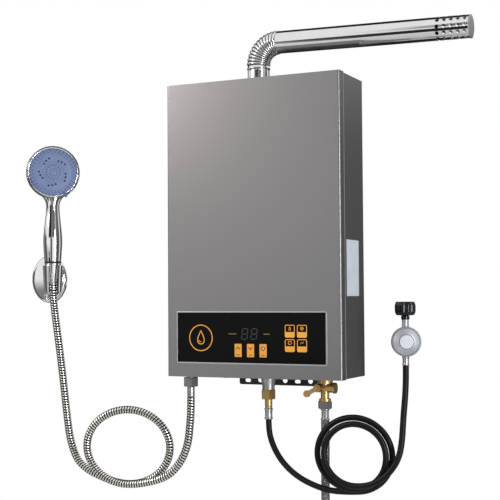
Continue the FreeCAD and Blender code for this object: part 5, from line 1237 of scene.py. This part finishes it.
# Flue, connections, regulator and hand shower
@dataclass
class Flue:
    """The ribbed elbow, the pipe with its vents, the closed end and the collar on the casing."""

    stub_x: float = -10.5
    depth: float = -65.0
    foot_z: float = -22.0
    bend_z: float = 23.0
    bend: float = 43.5
    fall: float = 1.35
    radius: float = 22.0
    wall: float = 0.6
    length: float = 385.0
    segments: int = 88
    ribs: int = 12
    rib_height: float = 1.5
    rib_groove: float = 1.6
    rib_rows: int = 12
    vent_rows: int = 11
    vent_columns: int = 5
    vent_radius: float = 3.6
    vent_margin: float = 0.8
    vent_pitch: float = 13.0
    vent_end: float = 6.4

    def build(self) -> None:
        """Make the flue's pieces."""
        self.elbow().settled("elbow_bellows", [Skin.ELBOW], "flue_elbow", sharp=50)
        self.pipe().settled("pipe_tube", [Skin.FLUE], "flue_pipe", sharp=40)
        self.end_cap().settled("pipe_end", [Skin.CAP], "flue_end_cap", sharp=45)
        refined("flue_collar", Skin.ZINC)

    def turned(self, turn: Any) -> tuple[np.ndarray, np.ndarray, np.ndarray]:
        """At a turn in radians: the way out from the bend's middle, the way along, and the pipe's axis."""
        zero = 0 * turn
        out = np.stack([-np.cos(turn), zero, np.sin(turn)], axis=-1)
        along = np.stack([np.sin(turn), zero, np.cos(turn)], axis=-1)
        return out, along, np.array([self.stub_x + self.bend, self.depth, self.bend_z]) + self.bend * out

    def elbow(self) -> Shape:
        """A circle carried up the stub and round the bend.

        On the bend the radius is the valley's plus a half-round rib: the rib's height times the square root
        of 1 - (2f - 1) squared, where f runs from 0 to 1 over each rib.
        """
        total = math.radians(90 + self.fall)
        step = np.linspace(0, self.ribs, self.ribs * self.rib_rows + 1)
        crest = (self.rib_height + self.rib_groove) * np.sqrt(np.clip(1 - (2 * (step % 1.0) - 1) ** 2, 0, 1))
        rise = np.array([0.0, 0.4, 20.0, 34.0, 37.2, 38.0, 39.2, 40.4, 41.2, 43.4])
        plain = self.radius + np.array([0, 0, 0, 0, 0, 0.9, 1.3, 0.9, 0, 0])
        radius = np.concatenate([plain, self.radius - self.rib_groove + crest])
        out, _, centre = self.turned(np.concatenate([0 * rise, step / self.ribs * total]))
        centre[:len(rise), 2] = self.foot_z + rise
        angle = even_angles(self.segments)[:, None]
        across = np.cos(angle) * out[:, None] + np.sin(angle) * np.array([0.0, 1.0, 0.0])
        outer, inner = (centre[:, None] + size[:, None, None] * across for size in (radius, radius - self.wall))
        # U counts the ribs so that the finish paints shade in each valley; the stub and the inside keep 0.5, clear
        # of it.
        counted = np.concatenate([0.5 + 0 * rise, step])
        counted = np.concatenate([counted, 0.5 + 0 * counted, [0.5]])
        return Shape.grid(np.concatenate([outer, inner[::-1]]), closed_rows=True, rows_at=counted)

    def along_pipe(self, at: Any, angle: np.ndarray, radius: Any) -> np.ndarray:
        """Points on the pipe: a distance along it, an angle from its underside, and a radius; all broadcast."""
        out, along, start = self.turned(np.array(math.radians(90 + self.fall)))
        across = np.cos(angle)[..., None] * -out + np.sin(angle)[..., None] * np.array([0.0, 1.0, 0.0])
        return start + np.asarray(at)[..., None] * along + np.asarray(radius)[..., None] * across

    def pipe(self) -> Shape:
        """A plain tube, then cells with a round vent each.

        A cell's rows run from its square edge to the vent's rim on the outside, through the wall, and back to
        the edge inside. A point at angle t on the edge is (cos t, sin t) over the greater of the two sizes.
        """
        half = math.pi / self.vent_rows
        side = np.tan(np.radians([-45, -30, -15, 0, 15, 30]))
        rows = -math.pi / 2 + 2 * half * np.arange(self.vent_rows)
        round_ = (rows[:, None] + half * side).ravel()
        centres = self.length - self.vent_end - self.vent_pitch * np.arange(self.vent_columns)
        stations = np.array([0.0, 0.6, 2.0, *range(60, 301, 60), centres[-1] - self.vent_pitch / 2])[:, None]
        inside = self.radius - self.wall
        outer, inner = (self.along_pipe(stations, round_ + 0 * stations, size) for size in (self.radius, inside))
        last = self.along_pipe(self.length, np.tile(round_, (2, 1)), np.array([[inside], [self.radius]]))
        parts = [Shape.grid(np.concatenate([inner[::-1], outer])), Shape.grid(last)]
        circle = ring(1.0, 24)
        square = circle / np.abs(circle).max(axis=1, keepdims=True)
        rim, near = circle * self.vent_radius, circle * (self.vent_radius + self.vent_margin)
        radii = np.repeat([self.radius, inside], 3)[:, None]
        before = self.vent_pitch / 2
        for column in centres:
            reach = np.where(square[:, 0] > 0, min(before, self.length - column), before)
            edge = np.column_stack([square[:, 0] * reach, square[:, 1] * half * self.radius])
            loops = np.stack([edge, near, rim, rim, near, edge])
            ways, turns = column + loops[..., 0], loops[..., 1] / self.radius
            parts += [Shape.grid(self.along_pipe(ways, row + turns, radii)) for row in rows]
        return joined(parts)

    def end_cap(self) -> Shape:
        """A shallow dome that closes the pipe, from a (radius, distance) profile."""
        plug, lip = self.radius - self.wall - 0.3, self.radius + 0.4
        profile = softened([(0, -5.0), (plug, -5.0), (plug, 0.1), (lip, 0.1), (lip, 0.9),
                            (self.radius - 1.2, 1.5), (self.radius * 0.6, 1.9), (0, 2.0)],
                           [0.3, 0.2, 0.2, 0.4, 0.8, 5.0])[..., None]
        angle = even_angles(self.segments) + 0 * profile[:, 0]
        return Shape.grid(self.along_pipe(self.length + profile[:, 1], angle, profile[:, 0]))


@dataclass
class Connections:
    """The nuts, sleeves and valve under the casing."""

    nuts: Sequence[HexNut] = (
        HexNut("hot_nut", 28.0, Skin.NUT), HexNut("gas_union_nut", 25.3, Skin.DULL_BRASS),
        HexNut("cold_nut", 24.5, Skin.NUT), HexNut("cold_end_nut", 24.5, Skin.NUT))
    sleeves: Sequence[Turned] = (
        Turned("hot_hose_ferrule", ((6.9, 0.0), (7.6, 0.06), (7.6, 0.94), (6.9, 1.0)), Skin.STEEL),
        Turned("gas_tail", ((7.0, 0.0), (7.0, 0.08), (7.4, 0.14), (7.4, 1.0)), Skin.BRASS),
        Turned("gas_ferrule", beaded(8.0, 8.5, 7.4, 7.2), Skin.STEEL),
        Turned("cold_ferrule", beaded(8.2, 8.8, 7.3, 7.1), Skin.STEEL))
    others: Sequence[tuple[str, Skin]] = (
        ("hot_outlet_stub", Skin.BRASS), ("gas_inlet_boss", Skin.STEEL), ("valve_body", Skin.BRASS),
        ("valve_lever", Skin.BRASS))

    def build(self) -> None:
        """Make the nuts and the sleeves, and refine the rest."""
        for piece in (*self.nuts, *self.sleeves):
            piece.build()
        for node, skin in self.others:
            refined(node, skin)


@dataclass
class Regulator:
    """The gas regulator: its body, cover, black neck, fluted hand nut and hose sleeve."""

    axis: tuple[float, float] = (295.8, -91.0)
    middle_z: float = -519.5
    turn: float = 25.0
    flange: float = 27.5
    badge: float = 12.7
    nut_radius: float = 19.1
    nut_bore: float = 13.0
    nut_depth: float = 17.0
    flutes: int = 10
    flute_depth: float = 1.9
    flute_fade: float = 0.12

    def build(self) -> None:
        """Make the regulator's pieces."""
        refined("regulator_body", Skin.REGULATOR)
        self.build_cover()
        self.build_hand_nut()
        Turned("regulator_neck", ((5.6, 0.0), (7.7, 0.02), (7.7, 0.46), (5.4, 0.50), (4.0, 0.52), (4.0, 1.0)),
               Skin.GLOSS_BLACK).build()
        Turned("regulator_ferrule", ((6.2, 0.0), (6.7, 0.04), (6.7, 0.14), (5.9, 0.2), (5.9, 0.8), (6.7, 0.86),
                                     (6.7, 0.96), (6.2, 1.0)), Skin.STEEL).build()

    def build_cover(self) -> None:
        """A rim, a shallow cone with a ring round a bare round badge; each stretch of the profile is a band."""
        step, top, flange, badge = 12.9, 18.4, self.flange, self.badge
        rim = softened([(0, 10.0), (flange, 10.0), (flange, 13.2), (flange - 2.2, 13.6), (flange - 2.6, step),
                        (flange - 3.2, step)], [0.3, 0.8, 0.4, 0.2])
        cone = softened([(flange - 3.2, step), (flange - 3.4, 13.8), (badge + 2.2, top), (badge + 1.5, top)],
                        [0.5, 1.2])
        line = softened([(badge + 1.5, top), (badge + 1.4, 17.9), (badge + 0.1, 17.9), (badge, 18.6)], 0.1)
        face = softened([(badge, 18.6), (badge - 0.3, 18.9), (0, 19.2)], 0.3)
        shape = joined(Shape.lathe(band, 96, at) for at, band in enumerate((rim, cone, line, face)))
        facing = Facing.level((*self.axis, self.middle_z), self.turn)
        skins = [Skin.COVER_RIM, Skin.SPUN, Skin.DARK_RING, Skin.BADGE]
        shape.mapped(facing.place).settled("regulator_face", skins, "regulator_cover", sharp=35)

    def build_hand_nut(self) -> None:
        """A barrel with round flutes and a threaded bore.

        The outside is the profile's radius less the flute's depth times the cube of the size of the cosine of
        half the flutes' angle, faded out towards both ends.
        """
        foot, height = upright("hand_nut")
        nut, mouth, floor = self.nut_radius, self.nut_radius * 0.86, height - self.nut_depth
        outside = softened([(14.4, 0.0), (17.2, height * 0.06), (nut, height * 0.24), (nut, height * 0.76),
                            (17.4, height * 0.95), (mouth, height)], [2.0, 4.0, 4.0, 2.0], 8)
        bore = softened([(mouth, height), (self.nut_bore, height), (self.nut_bore, height - 1.0),
                         (self.nut_bore - 0.6, floor), (0, floor)], [0.4, 0.4, 0.4])
        profile = np.concatenate([[(0, 0.0)], outside, bore[1:]])[..., None]
        angle = even_angles(self.flutes * 12)
        share = outside[:, 1:] / height
        fade = np.zeros((len(profile), 1))
        fade[1:len(outside) + 1] = np.clip(np.minimum(share, 1 - share) / self.flute_fade, 0, 1)
        wave = (np.cos(self.flutes / 2 * angle) ** 2) ** 1.5
        shape = Shape.grid(about_z(profile[:, 0] - self.flute_depth * fade * wave, profile[:, 1], angle))
        shape.moved(*foot).settled("hand_nut_fluted", [Skin.GLOSS_BLACK], "hand_nut", sharp=55)


@dataclass
class HandShower:
    """The chrome hand shower, its blue face and the wall holder.

    The head and handle are made about the head's axis: X to the right, Y up and Z out of the face.
    """

    axis: tuple[float, float] = (-505.14, -65.28)
    head_z: float = -164.0
    turn: float = 39.0
    head_radius: float = 57.4
    recess: float = 54.4
    face_radius: float = 50.6
    face_back: float = 8.6
    face_front: float = 13.6
    grip_foot: float = -192.5
    lever_angle: float = -62.0
    lever_reach: float = 61.0
    holder: Triple = (-558.0, 0.0, -393.5)
    plate: tuple[float, float] = (46.0, 53.0)
    plate_rise: float = 10.6
    plate_crown: float = 1.4
    plate_rim: float = 0.2
    plate_screw: float = 42.0
    plate_hole: float = 2.75
    plate_sink: float = 2.6
    neck: tuple[float, float] = (16.0, 34.0)
    neck_margin: float = 1.0

    def build(self) -> None:
        """Make the hand shower's pieces and refine the holder."""
        self.wall_plate().settled("wall_plate", [Skin.CHROME], "holder_base", sharp=50)
        refined("holder_cradle", Skin.CHROME)
        facing = Facing.level((*self.axis, self.head_z), self.turn)
        for shape, name, skins, node, sharp in (
                (self.body(), "shower_handle", [Skin.CHROME, Skin.DARK_CHROME], "handset_body", 50),
                (self.face(), "shower_face", [Skin.SPRAY, Skin.NOZZLE, Skin.HOLE], "spray_face", 40),
                (self.selector(), "shower_selector", [Skin.CHROME, Skin.LEVER], "spray_selector", 40)):
            shape.mapped(facing.place).settled(name, skins, node, sharp=sharp)
        Turned("handset_ring", ((17.4, 0.0), (18.1, 0.15), (18.1, 0.85), (17.4, 1.0)), Skin.BLACK, 0.3).build()
        Turned("hose_cone", ((8.2, 0.0), (8.7, 0.012), (10.6, 0.22), (13.4, 0.5), (17.2, 0.92), (17.5, 0.96),
                             (17.3, 1.0)), Skin.CHROME, 3.0).build()

    def wall_plate(self) -> Shape:
        """A domed oval plate with two countersunk holes, and the neck that carries the cup.

        Each half is a fan of points from its hole to the nearer of the outline and the plate's middle line. With
        p the distance from the middle as a share of the outline's and e the share where the rim begins, the
        front rises to the rise plus the crown times 1 - (p / e) squared inside e, and follows a quarter of an
        ellipse beyond. Points of the neck that would come closer to the wall than its margin slide forward
        along it.
        """
        (wide, tall), edge = self.plate, 1 - self.plate_rim
        angle = np.radians(np.arange(0, 360, 3.0))
        across, up = np.cos(angle), np.sin(angle)
        square = (across / wide) ** 2 + (up / tall) ** 2
        slant = 2 * self.plate_screw * up / tall ** 2
        rest = (self.plate_screw / tall) ** 2 - 1
        outline = (np.sqrt(slant ** 2 - 4 * square * rest) - slant) / (2 * square)
        reach = np.minimum(outline, np.where(up < -1e-6, self.plate_screw / np.maximum(-up, 1e-6), 1e6))
        share = np.array([0, 0.1, 0.25, 0.4, 0.55, 0.68, 0.78, 0.85, 0.9, 0.94, 0.97, 0.99, 1.0])[:, None]
        start = self.plate_hole + self.plate_sink
        distance = start + share * (reach - start)[None, :]
        x, z = distance * across, self.plate_screw + distance * up
        part = np.minimum(np.hypot(x / wide, z / tall), 1.0)
        crown = self.plate_rise + self.plate_crown * (1 - (part / edge) ** 2)
        rim = self.plate_rise * np.sqrt(np.clip(1 - ((part - edge) / self.plate_rim) ** 2, 0, 1))
        height = np.where(part < edge, crown, rim)
        hole = np.stack([self.plate_hole * across, 0 * angle, self.plate_screw + self.plate_hole * up], axis=1)
        sunk = np.stack([hole[:, 0], self.plate_sink - height[0], hole[:, 2]], axis=1)
        front = np.concatenate([hole[None], sunk[None], np.stack([x, -height, z], axis=2)])
        back = np.stack([hole, np.stack([x[-1], 0 * angle, z[-1]], axis=1)])
        half = Shape.grid(front) + Shape.grid(back)
        other = half.mapped(lambda points: points * np.array([1, 1, -1]))
        radius, length = self.neck
        facing = Facing.level((0.0, 0.0, 0.0), self.turn)
        out = np.array(facing.out)
        rod = Shape.lathe(softened([(0, 4.0), (radius, 4.0), (radius, length), (0, length)], 0.4), 64)
        neck = rod.mapped(facing.place).mapped(
            lambda points: points + np.maximum(points[:, 1:2] + self.neck_margin, 0.0) / -out[1] * out)
        return (half + other + neck).moved(*self.holder)

    def body(self) -> Shape:
        """The head, turned about its axis, and the handle, an ellipse carried down from it.

        The ellipse's half width and half depth follow smooth lines through the named heights.
        """
        radius = self.head_radius
        head = softened([(0, 9.0), (self.recess - 4, 9.0), (self.recess - 4, 8.2), (self.recess, 8.2),
                         (self.recess, 12.4), (radius - 0.5, 13.6), (radius, 8.5), (radius, 1.0),
                         (radius * 0.93, -8.4), (radius * 0.78, -14.0), (radius * 0.5, -18.2), (0, -20.0)],
                        [0.2, 0.2, 0.2, 1.4, 2.4, 4.0, 4.0, 6.0, 8.0, 12.0], 8)
        heights = np.array([-34, -46, -52, -57, -62, -68, -76, -88, -104, -122, -139, -154, -170, -183, -190,
                            self.grip_foot], float)
        lower = (16.6, 18.6, 20.1, 20.3, 19.5, 18.6, 18.2, 17.6)
        widths = np.array([30, 27, 23.5, 19, 16.0, 14.6, 14.2, 14.9, *lower])
        depths = np.array([11, 12, 12.8, 13.2, 13.4, 13.6, 13.9, 14.8, *lower])
        level = np.linspace(heights[0], heights[-1], 96)
        lines = (np.interp(level, heights[::-1], size[::-1]) for size in (widths, depths))
        wide, deep = (np.convolve(np.pad(line, 3, "reflect", reflect_type="odd"), np.ones(7) / 7, "valid")[:, None]
                      for line in lines)
        angle = even_angles(96)
        grip = np.stack(np.broadcast_arrays(wide * np.cos(angle), level[:, None], deep * np.sin(angle)), axis=2)
        ends = grip[:1] * [0, 1, 0], grip[-1:] * [0, 1, 0]
        first, last = np.flatnonzero((head[:, 0] > self.recess - 0.5) & (head[:, 1] > 2.0))[[0, -1]]
        bands = head[:first + 1], head[first:last + 1], head[last:]
        return joined(Shape.lathe(band, 120, finish) for band, finish in zip(bands, (0, 1, 0))) \
            + Shape.grid(np.concatenate([ends[0], grip, ends[1]]))

    def face(self) -> Shape:
        """A shallow disc with grooves, rings of soft nozzles and groups of shallow cups in a dark colour: painted
        shade that stands in for holes.
        """
        front = self.face_front
        radius = self.face_radius
        corners = [(0, self.face_back), (radius, self.face_back), (radius, front - 0.9), (radius - 1.4, front),
                   (40.6, front + 0.2), (40.2, front - 0.3), (39.4, front - 0.3), (39.0, front + 0.25),
                   (22.6, front + 0.45), (22.2, front - 0.1), (21.2, front - 0.1), (20.8, front + 0.5),
                   (9.0, front + 0.55), (8.6, front + 0.1), (7.6, front + 0.1), (7.2, front + 0.9),
                   (0, front + 1.1)]
        disc = Shape.lathe(softened(corners, 0.3), 120)
        rings = ((48.2, 40, 0.0), (43.8, 36, 5.0), (15.4, 16, 0.0))
        places = np.concatenate([np.insert(ring(*item), 2, 0.0, axis=1) for item in rings])
        tip = [(0, front - 0.6), (1.9, front - 0.6), (1.5, front + 1.0), (0, front + 1.0)]
        nozzle = Shape.lathe(softened(tip, 0.3, 3), 10, 1)
        angle = np.radians((np.arange(5)[:, None] * 72 + np.array([15.0, 0.0, -15.0]) + 50).ravel())
        holes = about_z(np.tile([26.3, 28.3, 30.6], 5), 0.0, angle)
        # Each hole is a shallow cup in the dark hole colour, painted shade where a hole would be.
        rim = [(0, front - 0.4), (2.1, front - 0.4), (2.1, front + 0.75), (1.6, front + 0.75),
               (1.5, front + 0.5), (0, front + 0.5)]
        hole = Shape.lathe(softened(rim, 0.15, 3), 14, 2)
        return disc + nozzle.repeated(places) + hole.repeated(holes)

    def selector(self) -> Shape:
        """A round-fronted ring beside the face and a small tapered lever."""
        inner, outer = self.face_radius + 0.3, self.recess - 0.3
        band = softened([(inner, 8.9), (outer, 8.9), (outer, 13.2), ((inner + outer) / 2, 14.6), (inner, 13.2),
                         (inner, 8.9)], [0.3, 0.8, 1.4, 0.8], 6)
        around = Shape.lathe(band[:-1], 120)
        around = Shape.grid(around.points.reshape(-1, 120, 3), closed_rows=True)
        tip = self.lever_reach
        outline = softened([(48.5, 0), (49.5, 3.4), (tip - 3, 3.0), (tip, 1.2), (tip, -1.2), (tip - 3, -3.0),
                            (49.5, -3.4), (48.5, 0)], 0.8, 4)[:-1]
        turn = math.radians(self.lever_angle)
        turned = outline @ np.array([[math.cos(turn), math.sin(turn)], [-math.sin(turn), math.cos(turn)]])
        lever = filled(turned, 17.2, 13.4, 1)
        return around + lever.mapped(lambda points: points[:, [0, 2, 1]])


# Studio
@dataclass(frozen=True)
class Screen:
    """A dark screen far round the set that only mirrors see, between compass angles and heights in degrees."""

    left: float
    right: float
    foot: float
    top: float
    shade: float = 0.03
    soft: float = 5.0
    soft_left: float = 5.0

    def tone(self, azimuth: Signal, height: Signal) -> Signal:
        """One away from the screen and its shade on it; each side fades over its soft width."""
        inside = ((azimuth - self.left) / self.soft_left).clamped()
        for reach in (self.right - azimuth, height - self.foot, self.top - height):
            inside = inside * (reach / self.soft).clamped()
        return 1 - inside * (1 - self.shade)


@dataclass
class Studio:
    """The camera, the floor, the lamps and what bright metal sees."""

    place: Triple = (0.9561, -2.1336, -0.4355)
    right: Triple = (0.90215, 0.43137, -0.00645)
    up: Triple = (0.02328, -0.03374, 0.99916)
    back: Triple = (0.43079, -0.90154, -0.04048)
    lens: float = 83.13
    floor_z: float = -1.25
    floor_radius: float = 1.9
    light_level: float = 0.5
    screens: Sequence[Screen] = (
        Screen(-110, -70, 5, 34, 0.02, 3), Screen(-72, -20, 6, 34, 0.16, 3), Screen(-20, 14, 6, 34, 0.45, 3),
        Screen(-86, -61, -34, 9, 0.08, 4), Screen(-119, -86, -32, -2, 0.02, 4),
        Screen(-140, -122, -24, 1, 0.25, 4), Screen(-164, -135, -34, 11, 0.08, 5),
        Screen(-181, -158, -34, 10, 0.22, 2, 0.1), Screen(160, 181, -34, 10, 0.22, 0.1, 4),
        Screen(4, 36, -50, 50, 0.12, 6), Screen(48, 104, -50, 20, 0.05, 12), Screen(104, 162, -66, 78, 0.02, 6))

    def build(self) -> None:
        """Set the studio up."""
        bpy.context.scene.view_settings.view_transform = "Standard"
        self.build_camera()
        self.build_world()
        self.build_floor()
        self.build_lamp("key", (-2.3, -2.5, 0.95), (-0.05, -0.1, -0.3), (0.9, 0.9), 33, (1.0, 0.95, 0.91))
        self.build_lamp("strip", (2.35, -1.62, -0.35), (0.0, -0.09, -0.35), (0.26, 1.7), 44, (0.84, 0.92, 1.0))
        self.build_card("under_card", (0.0, 1.35, -1.1), 2.4, 2.0, 0.03)

    def build_camera(self) -> None:
        """Place the camera by its right, up and back directions."""
        data = bpy.data.cameras.new("camera")
        data.lens = self.lens
        data.sensor_width = 36
        data.clip_start, data.clip_end = 0.05, 50
        camera = shown("camera", data)
        turn = Matrix([self.right, self.up, self.back]).transposed().to_4x4()
        camera.matrix_world = Matrix.Translation(self.place) @ turn
        bpy.context.scene.camera = camera

    def build_world(self) -> None:
        """White where a camera, mirror or glass ray goes, with the screens in mirrors, and a soft grey light
        elsewhere."""
        world = bpy.data.worlds.new("studio")
        world.use_nodes = True
        bpy.context.scene.world = world
        nodes = Nodes(world.node_tree)
        way = nodes.node("SeparateXYZ", {0: nodes.signal("TexCoord", output="Generated")})
        across, deep, rise = (Signal(nodes, output) for output in way.outputs)
        degrees = 180 / math.pi
        azimuth = nodes.maths("ARCTAN2", deep, across) * degrees
        height = nodes.maths("ARCSINE", rise) * degrees
        tone = 1 - 0 * azimuth
        for screen in self.screens:
            tone = tone * screen.tone(azimuth, height)
        path = nodes.node("LightPath")
        camera, glossy, glass = (Signal(nodes, path.outputs[name]) for name in
                                 ("Is Camera Ray", "Is Glossy Ray", "Is Transmission Ray"))
        seen = nodes.maths("MAXIMUM", camera, glass)
        light, mirrored, white = (
            nodes.signal("Background", {"Color": colour, "Strength": strength})
            for colour, strength in (((0.96, 0.98, 1.0, 1), self.light_level), ((1, 1, 1, 1), tone),
                                     ((1, 1, 1, 1), 1.0)))
        mixed = nodes.signal("MixShader", {0: glossy, 1: light, 2: mirrored})
        nodes.node("OutputWorld", {"Surface": nodes.signal("MixShader", {0: seen, 1: mixed, 2: white})})

    def build_floor(self) -> None:
        """A plain pale disc below the object."""
        radius, height = self.floor_radius / MILLIMETRE, self.floor_z / MILLIMETRE
        profile = np.array([(0, -6.0), (radius, -6.0), (radius, 0.0), (0, 0.0)])
        floor = Shape.lathe(profile, 96).moved(0, 0, height).build("floor", [])
        shader = Shader("floor_paint")
        shader.surface(Base_Color=(0.86, 0.86, 0.86, 1), Roughness=shader.noise(6, 2) * 0.1 + 0.6)
        floor.data.materials.append(shader.material)
        floor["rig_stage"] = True

    def build_lamp(self, name: str, place: Triple, target: Triple, size: tuple[float, float], power: float,
                   colour: Triple) -> None:
        """A soft lamp of a width and a height that points at a target."""
        data = bpy.data.lights.new(name, "AREA")
        data.shape = "RECTANGLE"
        data.size, data.size_y = size
        data.energy = power
        data.color = colour
        out = unit(np.subtract(place, target))
        side = unit(np.cross([0, 0, 1.0], out))
        turn = Matrix([side, np.cross(out, side), out]).transposed().to_4x4()
        shown(name, data).matrix_world = Matrix.Translation(place) @ turn

    def build_card(self, name: str, place: Triple, width: float, height: float, shade: float) -> None:
        """A level dark card that only mirror rays see."""
        outline = rounded_loop(width / MILLIMETRE, height / MILLIMETRE, 5, 2)
        card = filled(outline, 0.0, 4.0).mapped(lambda points: points[:, [0, 2, 1]])
        made = card.moved(*(value / MILLIMETRE for value in place)).build(name, [])
        shader = Shader(f"{name}_cloth")
        shader.surface(Base_Color=(shade, shade, shade, 1), Roughness=1.0, Specular_IOR_Level=0.0)
        made.data.materials.append(shader.material)
        for ray in ("camera", "diffuse", "transmission", "shadow"):
            setattr(made, f"visible_{ray}", False)
        made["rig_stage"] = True


def write_sizes() -> None:
    """Work out the box of the solids and the box of what shows."""
    boxes = {name: [list(corner) for corner in box] for name, box in (("cad", CAD_BOX), ("visual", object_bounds()))}


def main() -> None:
    """Build the studio and every sub-assembly, then finish what is left by its slot."""
    logging.basicConfig(level=logging.INFO, format="%(name)s: %(message)s")
    Studio().build()
    Connections().build()
    Regulator().build()
    HandShower().build()
    Flue().build()
    Casing().build()
    ControlPanel().build()
    Hoses().build()
    for name, item in frame["nodes"].items():
        if not item.hide_render and name != "panel_glass":
            dressed(name)
    write_sizes()


if __name__ == "__main__":
    main()
